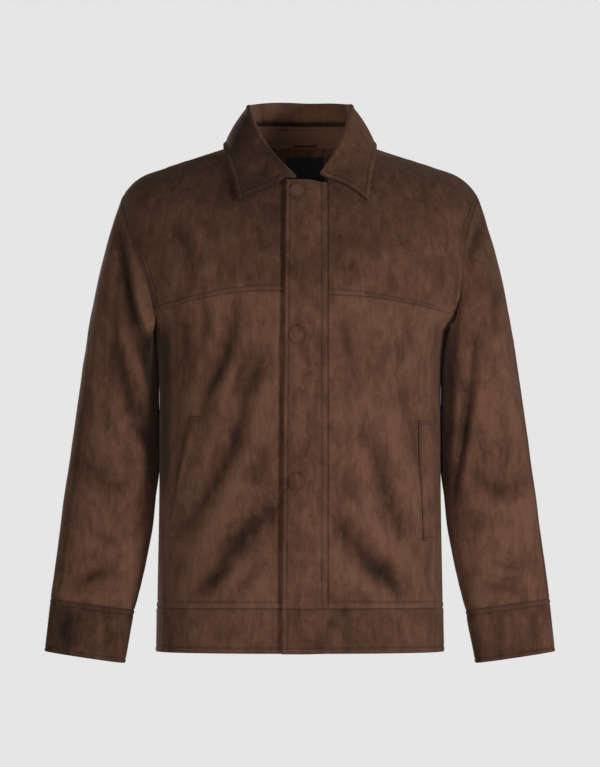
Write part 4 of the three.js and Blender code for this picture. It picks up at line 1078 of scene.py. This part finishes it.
def make_label():
    """Black woven satin: fine ribs both ways, bare of any mark."""
    material, shader, node, links = new_material("label_weave")
    where = node("ShaderNodeTexCoord").outputs["Object"]
    across = node("ShaderNodeTexWave", {"Vector": where, "Scale": 330.0, "Distortion": 0.6}, bands_direction="X")
    down = node("ShaderNodeTexWave", {"Vector": where, "Scale": 260.0, "Distortion": 0.6}, bands_direction="Z")
    weave = math_node(node, "MULTIPLY", across.outputs["Fac"], down.outputs["Fac"])
    base = linear(bpy.context.scene.jacket_finish.label)
    tone = math_node(node, "ADD", math_node(node, "MULTIPLY", weave, 0.5),
                     math_node(node, "MULTIPLY", noise(node, where, 90), 0.5))
    links.new(ramp(node, tone, ((0.2, tuple(c * 0.6 for c in base)), (0.8, tuple(c * 1.5 for c in base)))),
              shader.inputs["Base Color"])
    shader.inputs["Roughness"].default_value = 0.62
    shader.inputs["Sheen Weight"].default_value = 0.15
    bump = node("ShaderNodeBump", {"Height": weave, "Strength": 0.5, "Distance": 0.0002})
    links.new(bump.outputs["Normal"], shader.inputs["Normal"])
    return material


def make_button():
    """Dark horn: cloudy streaks under a dull polish."""
    material, shader, node, links = new_material("horn")
    where = node("ShaderNodeTexCoord").outputs["Object"]
    lengthwise = node("ShaderNodeMapping", {"Vector": where, "Scale": (1.0, 1.0, 0.3)}).outputs["Vector"]
    streaks = noise(node, lengthwise, 260, 4, 0.6, 1.5)
    links.new(ramp(node, streaks, ((0.3, (0.012, 0.008, 0.006)), (0.7, (0.05, 0.03, 0.02)))), shader.inputs["Base Color"])
    shader.inputs["Roughness"].default_value = 0.38
    return material


MAKERS = {"suede": make_suede, "facing": make_facing, "thread": make_thread, "label": make_label, "button": make_button}


# ---- what a user can change ------------------------------------------------------------------------------------
class JacketSewing(bpy.types.PropertyGroup):
    """Cloth and sewing."""

    cloth: bpy.props.FloatProperty(
        name="Cloth", description="Thickness of one wall of suede",
        default=0.002, min=0.0008, max=0.004, unit="LENGTH")
    stitch: bpy.props.FloatProperty(
        name="Stitch", description="Length of one stitch",
        default=0.0026, min=0.001, max=0.006, unit="LENGTH")
    pitch: bpy.props.FloatProperty(
        name="Pitch", description="Distance from one stitch to the next",
        default=0.0034, min=0.0015, max=0.008, unit="LENGTH")
    thread: bpy.props.FloatProperty(
        name="Thread", description="Thickness of the thread",
        default=0.0007, min=0.0003, max=0.0015, unit="LENGTH")
    cell: bpy.props.FloatProperty(
        name="Cell", description="Size of the grid's cells away from the seams",
        default=0.0045, min=0.002, max=0.012, unit="LENGTH")


class JacketFinish(bpy.types.PropertyGroup):
    """Colours."""

    # The painted shade of creases, seams and the gaps beside the sleeves also darkens the suede towards this colour.
    dark: bpy.props.FloatVectorProperty(
        name="Suede, dark", description="Nap brushed away from the light",
        subtype="COLOR", default=(0.034, 0.0141, 0.0076), min=0, max=1)
    middle: bpy.props.FloatVectorProperty(
        name="Suede, middle", description="Main tone of the suede",
        subtype="COLOR", default=(0.072, 0.0310, 0.0176), min=0, max=1)
    light: bpy.props.FloatVectorProperty(
        name="Suede, light", description="Nap brushed towards the light",
        subtype="COLOR", default=(0.122, 0.0562, 0.0338), min=0, max=1)
    # Painted light: at the default above one the neck facing is painted lighter, standing in for light inside the neck.
    facing: bpy.props.FloatProperty(
        name="Facing", description="Tone of the facing against the outside",
        default=1.1, min=0.2, max=1.5)
    thread: bpy.props.FloatVectorProperty(
        name="Thread", description="Colour of the stitching",
        subtype="COLOR", default=(0.046, 0.0215, 0.0140), min=0, max=1)
    label: bpy.props.FloatVectorProperty(
        name="Label", description="Colour of the bare label",
        subtype="COLOR", default=(0.0035, 0.0045, 0.0052), min=0, max=1)


class JacketStage(bpy.types.PropertyGroup):
    """Studio."""

    floor: bpy.props.FloatProperty(
        name="Floor", description="Height of the floor",
        default=-1.45, unit="LENGTH")
    pale: bpy.props.FloatProperty(
        name="Backdrop", description="Brightness of the surroundings",
        default=0.791, min=0, max=1)
    ambient: bpy.props.FloatProperty(
        name="Ambient", description="Share of the backdrop's light that falls on the jacket",
        default=0.15, min=0, max=1)
    key: bpy.props.FloatProperty(
        name="Key light", description="Power of the main soft light",
        default=69.0, min=0, unit="POWER")


# ---- pieces ----------------------------------------------------------------------------------------------------
def cell():
    """Grid cell in millimetres."""
    return bpy.context.scene.jacket_sewing.cell * 1000


PLAIN = edge()
TOPSTITCHED = edge(rows=(7.0,), ridge=0.5, pucker=0.45)
TWIN = edge(rows=(2.6, 8.6), ridge=0.5, pucker=0.45)
WAIST = edge(rows=(9.0,), ridge=0.7, pucker=0.5)
HEMMED = edge(roll=1.0, reach=1.8, rows=(7.5,), ridge=0.35, pucker=0.3, free=True)


class JACKET_OT_fronts(bpy.types.Operator):
    """Makes the front yokes and the front panels"""

    bl_idname = "jacket.fronts"
    bl_label = "Fronts"

    def execute(self, context):
        for key in SIDES:
            u, v = spread(270, cell(), keep=(NECK_PART,)), spread(235, cell())
            edges = {"low": edge(rows=(7.2,), ridge=0.6, pucker=0.5), "end": TWIN, "high": PLAIN, "start": PLAIN}
            skin_piece(f"front_yoke_{key}", -1, front_yoke_grid(key, u, v), edges)
            u, v = spread(260, cell()), spread(415, cell(), keep=(SIDE_PART,))
            edges = {"low": WAIST, "high": edge(roll=1.6, pucker=0.5), "end": PLAIN, "start": PLAIN}
            grid = front_panel_grid(key, u, v)
            at = smooth_skin(-1, grid[..., 0], grid[..., 1])
            # Painted shade on the panel's side where the sleeve hangs against it.
            shade_beside_sleeve = smooth((np.abs(at[..., 0]) - 172) / 13) * beside_body(at[..., 2])
            skin_piece(f"front_panel_{key}", -1, grid, edges, tone=(1.7 if key == "right" else 0.35) * shade_beside_sleeve)
        return {"FINISHED"}


class JACKET_OT_back(bpy.types.Operator):
    """Makes the back yoke and the back panel"""

    bl_idname = "jacket.back"
    bl_label = "Back"

    def execute(self, context):
        u, v = spread(560, cell() * 1.2, keep=(5 / 28, 23 / 28)), spread(190, cell() * 1.2)
        skin_piece("back_yoke", 1, back_yoke_grid(u, v),
                   {"low": PLAIN, "high": TOPSTITCHED, "start": TOPSTITCHED, "end": TOPSTITCHED})
        u, v = spread(580, cell() * 1.2), spread(480, cell() * 1.2, keep=(BACK_SIDE_PART,))
        skin_piece("back_panel", 1, back_panel_grid(u, v), {"low": WAIST, "high": PLAIN, "start": PLAIN, "end": PLAIN})
        return {"FINISHED"}


class JACKET_OT_band(bpy.types.Operator):
    """Makes the hem band in its three pieces"""

    bl_idname = "jacket.band"
    bl_label = "Hem band"

    def execute(self, context):
        v = spread(60, 3.5)
        z = mix(HEM_Z, WAIST_Z, v)
        seam = math.radians(SEAM_ANGLE)
        lap = coordinates(-1, UNDERLAP_X, WAIST_Z)[0]
        free = coordinates(-1, placket_edge(z), z)[:, 0]
        pieces = (
            ("hem_band_right", -1, -seam + 0 * z, lap + 0 * z, 215, 0.0, {"end": HEMMED, "start": PLAIN}),
            ("hem_band_left", -1, free, seam + 0 * z, 235, placket_lift, {"start": HEMMED, "end": PLAIN}),
            ("hem_band_back", 1, seam - math.pi + 0 * z, math.pi - seam + 0 * z, 645, 0.0, {"start": PLAIN, "end": PLAIN}),
        )
        for name, face, start, end, length, lift, ends in pieces:
            u = spread(length, cell())
            angle = mix(start[:, None], end[:, None], u[None])
            grid = np.stack([angle, np.broadcast_to((z - ARMPIT_Z)[:, None], angle.shape)], -1)
            raised = (lambda x, lift=lift: BAND_FLARE + (lift(x) if callable(lift) else 0 * x))
            edges = {"low": HEMMED, "high": edge(roll=1.6, pucker=0.8), **ends}
            skin_piece(name, face, grid, edges, raised)
        return {"FINISHED"}


class JACKET_OT_placket(bpy.types.Operator):
    """Makes the placket that covers the buttons, with the marks the buttons press into it"""

    bl_idname = "jacket.placket"
    bl_label = "Placket"

    def execute(self, context):
        u, v = spread(61, 3.2), spread(578, 3.4)
        z = mix(WAIST_Z, PLACKET_TOP, v)[:, None]
        x = mix(placket_edge(z), PLACKET_SEAM_X, u[None])
        grid = coordinates(-1, x, np.broadcast_to(z, x.shape))
        marks = np.zeros_like(x)
        for i in range(BUTTON_COUNT):
            r = np.hypot(x - BUTTON_X, z - (BUTTON_HIGHEST - BUTTON_PITCH * i))
            marks += (1.25 if i in (0, 2, 4) else 0.3) * (smooth((10.5 - r) / 3.2) - 0.6 * np.exp(-(((r - 11.5) / 1.6) ** 2)))
        edges = {
            "start": edge(roll=1.0, reach=2.0, rows=(5.4,), ridge=0.35, pucker=0.4, free=True),
            "end": edge(rows=(8.4,), ridge=0.6, pucker=0.4),
            "high": edge(roll=1.0, reach=2.0, rows=(4.2,), ridge=0.2, free=True),
            "low": PLAIN,
        }
        skin_piece("placket", -1, grid, edges, placket_lift, relief=marks)
        return {"FINISHED"}


class JACKET_OT_sleeves(bpy.types.Operator):
    """Makes both halves of each sleeve, and the cuffs"""

    bl_idname = "jacket.sleeves"
    bl_label = "Sleeves and cuffs"

    def execute(self, context):
        for key, side in SIDES.items():
            for half, first, last, wide in (("front", 0, CAP_FRONT, 190), ("back", CAP_FRONT, CAP_LOOP, 185)):
                at = 11 * spread(560, cell() * 1.1)
                s = mix(first, last, spread(wide, cell()))
                p = sleeve_grid(key, at, s)
                guide = sleeve_guide(p, at)
                n = grid_normals(p, guide)
                x = np.where(n[..., 1] < 0, p[..., 0], -p[..., 0])
                fade = smooth(at / 1.2) * smooth((11 - at) / 1.2)
                deep = fold_depth(SLEEVE_FOLDS, x, p[..., 2]) + fold_depth(SLEEVE_WRINKLES, x, p[..., 2])
                facing_body = smooth((-side * n[..., 0] - 0.7) * 5)
                deep = deep * fade[:, None] * smooth(np.abs(n[..., 1]) * 1.6) * (1 - 0.8 * facing_body)
                rough = (1.0 * uneven(p, 66, 2) + 0.45 * uneven(p, 27, 3)) * (1 - 0.9 * facing_body)
                deep = deep + rough * smooth(at / 1.0)[:, None] * smooth((11 - at) / 0.6)[:, None]
                edges = {"low": edge(roll=1.6, reach=2.6, pucker=0.8), "high": edge(pucker=0.7), "start": PLAIN, "end": PLAIN}
                if half == "front":
                    edges["start"] = edge(rows=(2.4,), ridge=0.3, pucker=0.35)
                name = f"sleeve_{half}_{key}"
                # Painted shade on the sleeve's inner side where it hangs against the body, added to the tone.
                beside = smooth((218 - np.abs(p[..., 0])) / 16) * beside_body(p[..., 2])
                tone = tone_and_shade_of(name, p) + (1.6 if key == "right" else 1.1) * beside
                made = cloth_piece(name, p - n * deep[..., None], guide, edges,
                                   {"deep": deep, "group": "sleeves", "tone": tone})
            self.cuff(key, side)
        return {"FINISHED"}

    def cuff(self, key, side):
        """Plain band from the sleeve's end: its section changes evenly to the wrist's."""
        t = spread(73, 3.5)
        s = np.linspace(0, CAP_LOOP, round(330 / cell()), endpoint=False)
        row = {k: mix(SLEEVE[k][-1], CUFF_END[k], t)[:, None] for k in CUFF_END}
        p = sleeve_point(side, row, even_angles(key, np.full(len(t), 12.0), s[None]))
        middle = sleeve_point(side, row, np.full((1, 1), 90.0)) * 0.5 + sleeve_point(side, row, np.full((1, 1), 270.0)) * 0.5
        guide = unit(p - middle)
        x = np.where(guide[..., 1] < 0, p[..., 0], -p[..., 0])
        deep = fold_depth(CUFF_FOLDS, x, p[..., 2]) * smooth(np.abs(guide[..., 1]) * 1.6) - 0.8 * uneven(p, 34, 4)
        deep = deep * smooth(t / 0.2)[:, None]
        p = p - guide * deep[..., None]
        edges = {"low": edge(rows=(7.0,), ridge=0.5, pucker=0.7),
                 "high": edge(roll=1.0, reach=1.8, rows=(5.6,), ridge=0.35, pucker=0.3, free=True)}
        made = cloth_piece(f"cuff_{key}", p, guide, edges, {"closed": True, "group": "sleeves", "deep": deep})


class JACKET_OT_collar(bpy.types.Operator):
    """Makes the collar and its stand"""

    bl_idname = "jacket.collar"
    bl_label = "Collar"

    def execute(self, context):
        t = spread(520, 4.0)
        turn = collar_turns(t)
        inside = np.linspace(0, 2, 9)[:-1]
        crest = np.linspace(2, 6.5, 22)[:-1]
        leaf = 6.5 + 5.5 * spread(64, 3.4)
        p = collar_grid(turn, np.concatenate([inside, crest, leaf[leaf > 6.62]]))
        p = np.ascontiguousarray(p)
        across, up = np.gradient(p, axis=1), np.gradient(p, axis=0)
        seen = unit(np.cross(across, up))
        free = edge(roll=1.1, reach=2.2, rows=(7.4,), ridge=0.5, pucker=0.4, free=True)
        wave = 0.7 * uneven(p, 38, 5)
        edges = {"high": free, "start": free, "end": free, "low": edge(roll=1.7, reach=4.0, pucker=0.3)}
        rows = np.arange(len(p))[:, None] / (len(inside) + len(crest))
        # Painted light and shade on the collar: its inside is painted lighter, and the leaf on the wearer's right,
        # which faces away from the key light, is painted darker.
        tone = mix(-0.35, mix(0.25, 1.15, smooth((15 - p[..., 0]) / 40)), smooth(rows * 3 - 1.2))
        low = edge_distances(p)["low"][0]
        # Painted shadow: a dark band along the collar's foot, where it tucks down into the stand.
        tone = tone + 2.2 * np.exp(-(((low - 3.5) / 3.2) ** 2))
        made = cloth_piece("collar", p, seen, edges, {"relief": wave, "group": "collar", "tone": tone})
        v, u = spread(31, 2.6), spread(360, 4.5)
        turn = collar_turns(mix(2 / 34, 32 / 34, u))
        share = mix(STAND_SEAT / collar_height(turn)[None], STAND_SHARE, v[:, None])
        rows = [stand_point(turn, row, -2.0 * (1 - k)) for row, k in zip(share, v)]
        p = np.stack(rows)
        seen = unit(np.cross(np.gradient(p, axis=1), np.gradient(p, axis=0)))
        edges = {"high": edge(rows=(5.2,), ridge=0.6), "low": edge(rows=(7.0,), ridge=0.2, pucker=0.5), "start": PLAIN, "end": PLAIN}
        made = cloth_piece("collar_stand", p, seen, edges, {"group": "collar"})
        return {"FINISHED"}


class JACKET_OT_neck_inside(bpy.types.Operator):
    """Makes the facing inside the back neck, the bare label and the hanging loop"""

    bl_idname = "jacket.neck_inside"
    bl_label = "Neck inside"

    def execute(self, context):
        u, v = mix(6 / 28, 22 / 28, spread(260, 6)), 3 / 7 * spread(75, 5)
        whole = back_yoke_grid(np.concatenate([[0], u, [1]]), np.append(v, 1))[:-1, 1:-1]
        facing = skin_piece("neck_facing", 1, whole, {"low": PLAIN, "high": HEMMED, "start": PLAIN, "end": PLAIN},
                            -2.5, slot="suede_inside", finish="facing")
        x = 7.5 + 27.5 * (2 * spread(55, 3) - 1)
        z = 12 - 42 * (1 - spread(42, 3))
        grid = coordinates(1, x[None], z[:, None] + 0 * x[None])
        fine = edge(roll=0.5, reach=0.9, rows=(1.6,), pucker=0.1, free=True)
        skin_piece("neck_label", 1, grid, {k: fine for k in ("low", "high", "start", "end")}, -5.5, thick=1.2,
                   slot="label", finish="label", group="label", rests_on=(facing.name,))
        u = np.linspace(0, 1, 40)
        v = np.array([0, 0.08, 0.2, 0.4, 0.6, 0.8, 0.92, 1.0])
        turn = mix(173.0, 199.5, u)
        up = mix(2.0, 8.5, v[:, None]) / collar_height(turn)[None]
        p = np.stack([stand_point(turn, row, -3.6 - 2.6 * np.sin(np.pi * u)) for row in up])
        n = neck_point(turn)[1][None] * -1.0
        across = np.clip(1 - np.abs(2 * v - 1) ** 4, 0, 1)[:, None, None]
        lit = np.repeat(mix(1.6, -1.2, smooth(v * 1.6)), len(u))
        values = {"tone_and_shade": np.concatenate([lit, lit])}
        loop = wall("hanger_loop_cloth", p + n * (0.9 * across), p + n * (0.2 * across - 0.5), values=values)
        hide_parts("hanger_loop")
        loop.data.materials.append(finish("suede"))
        return {"FINISHED"}


class JACKET_OT_pockets(bpy.types.Operator):
    """Makes the slanted pocket welts, tacked at both ends"""

    bl_idname = "jacket.pockets"
    bl_label = "Pockets"

    def execute(self, context):
        for key, (low_a, low_b, top_a, top_b) in WELTS.items():
            u, v = spread(24, 2.4), spread(166, 3.5)
            uu, vv = u[None, :], v[:, None]
            x = mix(mix(low_a[0], top_a[0], vv), mix(low_b[0], top_b[0], vv), uu)
            z = mix(mix(low_a[1], top_a[1], vv), mix(low_b[1], top_b[1], vv), uu)
            flat = edge(roll=1.6, reach=2.4, rows=(4.4,), ridge=0.4, pucker=0.3)
            edges = {"low": flat, "high": flat, "start": edge(roll=1.3, reach=2.6, pucker=0.5, free=True),
                     "end": edge(roll=1.6, reach=2.4, rows=(2.6,), ridge=0.3)}
            if key == "left":
                edges["start"], edges["end"] = edges["end"], edges["start"]
            skin_piece(f"pocket_welt_{key}", -1, coordinates(-1, x, z), edges, 2.3, rests_on=(f"front_panel_{key}_cloth",))
        return {"FINISHED"}


class JACKET_OT_buttons(bpy.types.Operator):
    """Gives the hidden buttons their horn"""

    bl_idname = "jacket.buttons"
    bl_label = "Buttons"

    def execute(self, context):
        for i in range(BUTTON_COUNT):
            made = frame["nodes"][f"button_{i + 1}"]
            made = made if isinstance(made, bpy.types.Object) else bpy.data.objects[f"button_{i + 1}"]
            made.data.materials.clear()
            made.data.materials.append(finish("button"))
        return {"FINISHED"}


def stitch_shape():
    """One stitch along X, as a tube of five rings that dives at both ends and closes in a point."""
    rings, sides = 5, 5
    a = np.linspace(0, 2 * np.pi, sides, endpoint=False)
    x = np.linspace(-0.8, 0.8, rings)
    wide = np.sqrt(1 - x**2) ** 0.6
    ring = np.stack([np.repeat(x, sides), np.outer(wide, np.cos(a)).ravel(), np.outer(wide, np.sin(a)).ravel()], -1)
    points = np.concatenate([ring, [[-1, 0, 0], [1, 0, 0]]])
    index = np.arange(rings * sides).reshape(rings, sides)
    after = np.roll(index, -1, 1)
    body = np.stack([index[:-1], after[:-1], after[1:], index[1:]], -1).reshape(-1, 4)
    tail = np.stack([after[0], index[0], np.full(sides, rings * sides), np.full(sides, rings * sides)], -1)
    head = np.stack([index[-1], after[-1], np.full(sides, rings * sides + 1), np.full(sides, rings * sides + 1)], -1)
    return points, body, np.concatenate([tail, head])[:, :3]


class JACKET_OT_stitching(bpy.types.Operator):
    """Lays the rows of stitches along the seams and edges"""

    bl_idname = "jacket.stitching"
    bl_label = "Stitching"

    def execute(self, context):
        sewing = context.scene.jacket_sewing
        shape, body, caps = stitch_shape()
        for group, lines in THREADS.items():
            places, ways, normals = [], [], []
            for line, n, _ in lines:
                run = np.concatenate([[0], np.cumsum(np.linalg.norm(np.diff(line, axis=0), axis=1))])
                pitch = sewing.pitch * 1000
                at = np.arange(3.0, run[-1] - 3.0, pitch)
                if len(at) < 2:
                    continue
                p = np.stack([np.interp(at, run, line[:, k]) for k in range(3)], -1)
                ahead = np.stack([np.interp(at + 1, run, line[:, k]) for k in range(3)], -1)
                places.append(p)
                ways.append(unit(ahead - p))
                normals.append(unit(np.stack([np.interp(at, run, n[:, k]) for k in range(3)], -1)))
            if not places:
                continue
            p, way, n = map(np.concatenate, (places, ways, normals))
            side = unit(np.cross(n, way))
            half, thin = sewing.stitch * 500, sewing.thread * 500
            arch = 0.35 * (1 - shape[:, 0] ** 2)
            local = np.stack([shape[:, 0] * half, shape[:, 1] * thin, shape[:, 2] * thin * 0.8 + arch - 0.12], -1)
            points = (p[:, None] + way[:, None] * local[None, :, :1] + side[:, None] * local[None, :, 1:2]
                      + n[:, None] * local[None, :, 2:])
            shift = (np.arange(len(p)) * len(shape))[:, None, None]
            faces = [tuple(f) for f in (body[None] + shift).reshape(-1, 4).tolist()]
            faces += [tuple(f) for f in (caps[None] + shift).reshape(-1, 3).tolist()]
            mesh = bpy.data.meshes.new(f"stitches_{group}")
            mesh.from_pydata((points.reshape(-1, 3) / 1000).tolist(), [], faces)
            mesh.polygons.foreach_set("use_smooth", np.ones(len(faces), bool))
            made = bpy.data.objects.new(mesh.name, mesh)
            context.scene.collection.objects.link(made)
            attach(made, "root")
            made.data.materials.append(finish("label" if group == "label" else "thread"))
        return {"FINISHED"}


class JACKET_OT_stage(bpy.types.Operator):
    """Makes the camera, the pale floor, the surroundings and the soft lights"""

    bl_idname = "jacket.stage"
    bl_label = "Studio"

    def execute(self, context):
        props = context.scene.jacket_stage
        scene = context.scene
        scene.view_settings.view_transform = "Standard"
        camera = bpy.data.objects.new("camera", bpy.data.cameras.new("camera"))
        camera.data.lens = 108.06
        camera.data.sensor_width = 36
        camera.data.shift_y = 0.2556
        camera.location = (0, -3.2, -0.59)
        camera.rotation_euler = (math.radians(90), 0, 0)
        scene.collection.objects.link(camera)
        scene.camera = camera
        a = np.linspace(0, 2 * np.pi, 96, endpoint=False)
        r = np.array([0.001, 1.5, 3.0, 4.5, 6.0])[:, None]
        points = np.stack([r * np.cos(a), r * np.sin(a), np.full((5, 96), props.floor)], -1).reshape(-1, 3) * 1000
        index = np.arange(480).reshape(5, 96)
        after = np.roll(index, -1, 1)
        quads = np.stack([index[:-1], index[1:], after[1:], after[:-1]], -1).reshape(-1, 4)
        mesh = bpy.data.meshes.new("floor")
        mesh.from_pydata((points / 1000).tolist(), [], quads.tolist())
        floor = bpy.data.objects.new("floor", mesh)
        scene.collection.objects.link(floor)
        material, shader, node, links = new_material("pale_floor")
        where = node("ShaderNodeTexCoord").outputs["Object"]
        links.new(ramp(node, noise(node, where, 3), ((0.3, (0.32,) * 3), (0.7, (0.36,) * 3))), shader.inputs["Base Color"])
        shader.inputs["Roughness"].default_value = 0.9
        shader.inputs["Emission Color"].default_value = (props.pale * 0.8,) * 3 + (1,)
        links.new(node("ShaderNodeLightPath").outputs["Is Camera Ray"], shader.inputs["Emission Strength"])
        mesh.materials.append(material)
        world = bpy.data.worlds.new("studio")
        scene.world = world
        world.use_nodes = True
        tree = world.node_tree
        sky = tree.nodes["Background"]
        sky.inputs["Color"].default_value = (props.pale,) * 3 + (1,)
        rays, strength = tree.nodes.new("ShaderNodeLightPath"), tree.nodes.new("ShaderNodeMapRange")
        strength.inputs["To Min"].default_value = props.ambient
        tree.links.new(rays.outputs["Is Camera Ray"], strength.inputs["Value"])
        tree.links.new(strength.outputs["Result"], sky.inputs["Strength"])
        lights = (
            ("key", (2.1, -2.3, -0.75), 0.8, props.key),
            ("fill", (-0.9, -2.7, -1.1), 1.2, props.key * 0.50),
            ("neck", (0.15, -2.5, 0.55), 0.4, props.key * 0.10),
            ("back", (-1.2, 2.4, 0.3), 1.4, props.key * 0.5),
        )
        target = np.array([0, 0, -0.3])
        for name, place, size, power in lights:
            lamp = bpy.data.objects.new(name, bpy.data.lights.new(name, "AREA"))
            lamp.data.size = size
            lamp.data.energy = power
            lamp.location = place
            way = bpy.context.scene.camera.location.copy()
            way.x, way.y, way.z = (target - np.array(place)).tolist()
            lamp.rotation_euler = way.to_track_quat("-Z", "Y").to_euler()
            scene.collection.objects.link(lamp)
        return {"FINISHED"}


class JACKET_PT_panel(bpy.types.Panel):
    """Lists the jacket's sizes, colours and pieces"""

    bl_idname = "JACKET_PT_panel"
    bl_label = "Suede jacket"
    bl_space_type = "VIEW_3D"
    bl_region_type = "UI"
    bl_category = "Jacket"

    def draw(self, context):
        for group in ("jacket_sewing", "jacket_finish", "jacket_stage"):
            props = getattr(context.scene, group)
            box = self.layout.box()
            for name in props.__annotations__:
                box.prop(props, name)
        for operator in OPERATORS:
            self.layout.operator(operator.bl_idname)


OPERATORS = (
    JACKET_OT_stage,
    JACKET_OT_fronts,
    JACKET_OT_back,
    JACKET_OT_band,
    JACKET_OT_placket,
    JACKET_OT_sleeves,
    JACKET_OT_collar,
    JACKET_OT_neck_inside,
    JACKET_OT_pockets,
    JACKET_OT_buttons,
    JACKET_OT_stitching,
)
GROUPS = {"jacket_sewing": JacketSewing, "jacket_finish": JacketFinish, "jacket_stage": JacketStage}


def register():
    """Registers the property groups, the operators and the panel."""
    for name, group in GROUPS.items():
        bpy.utils.register_class(group)
        setattr(bpy.types.Scene, name, bpy.props.PointerProperty(type=group))
    for cls in (*OPERATORS, JACKET_PT_panel):
        bpy.utils.register_class(cls)


def unregister():
    """Takes them all away again."""
    for cls in (JACKET_PT_panel, *reversed(OPERATORS)):
        bpy.utils.unregister_class(cls)
    for name, group in GROUPS.items():
        delattr(bpy.types.Scene, name)
        bpy.utils.unregister_class(group)


def main():
    """Makes the jacket and its studio."""
    register()
    for operator in OPERATORS:
        group, name = operator.bl_idname.split(".")
        getattr(getattr(bpy.ops, group), name)()


if __name__ == "__main__":
    main()
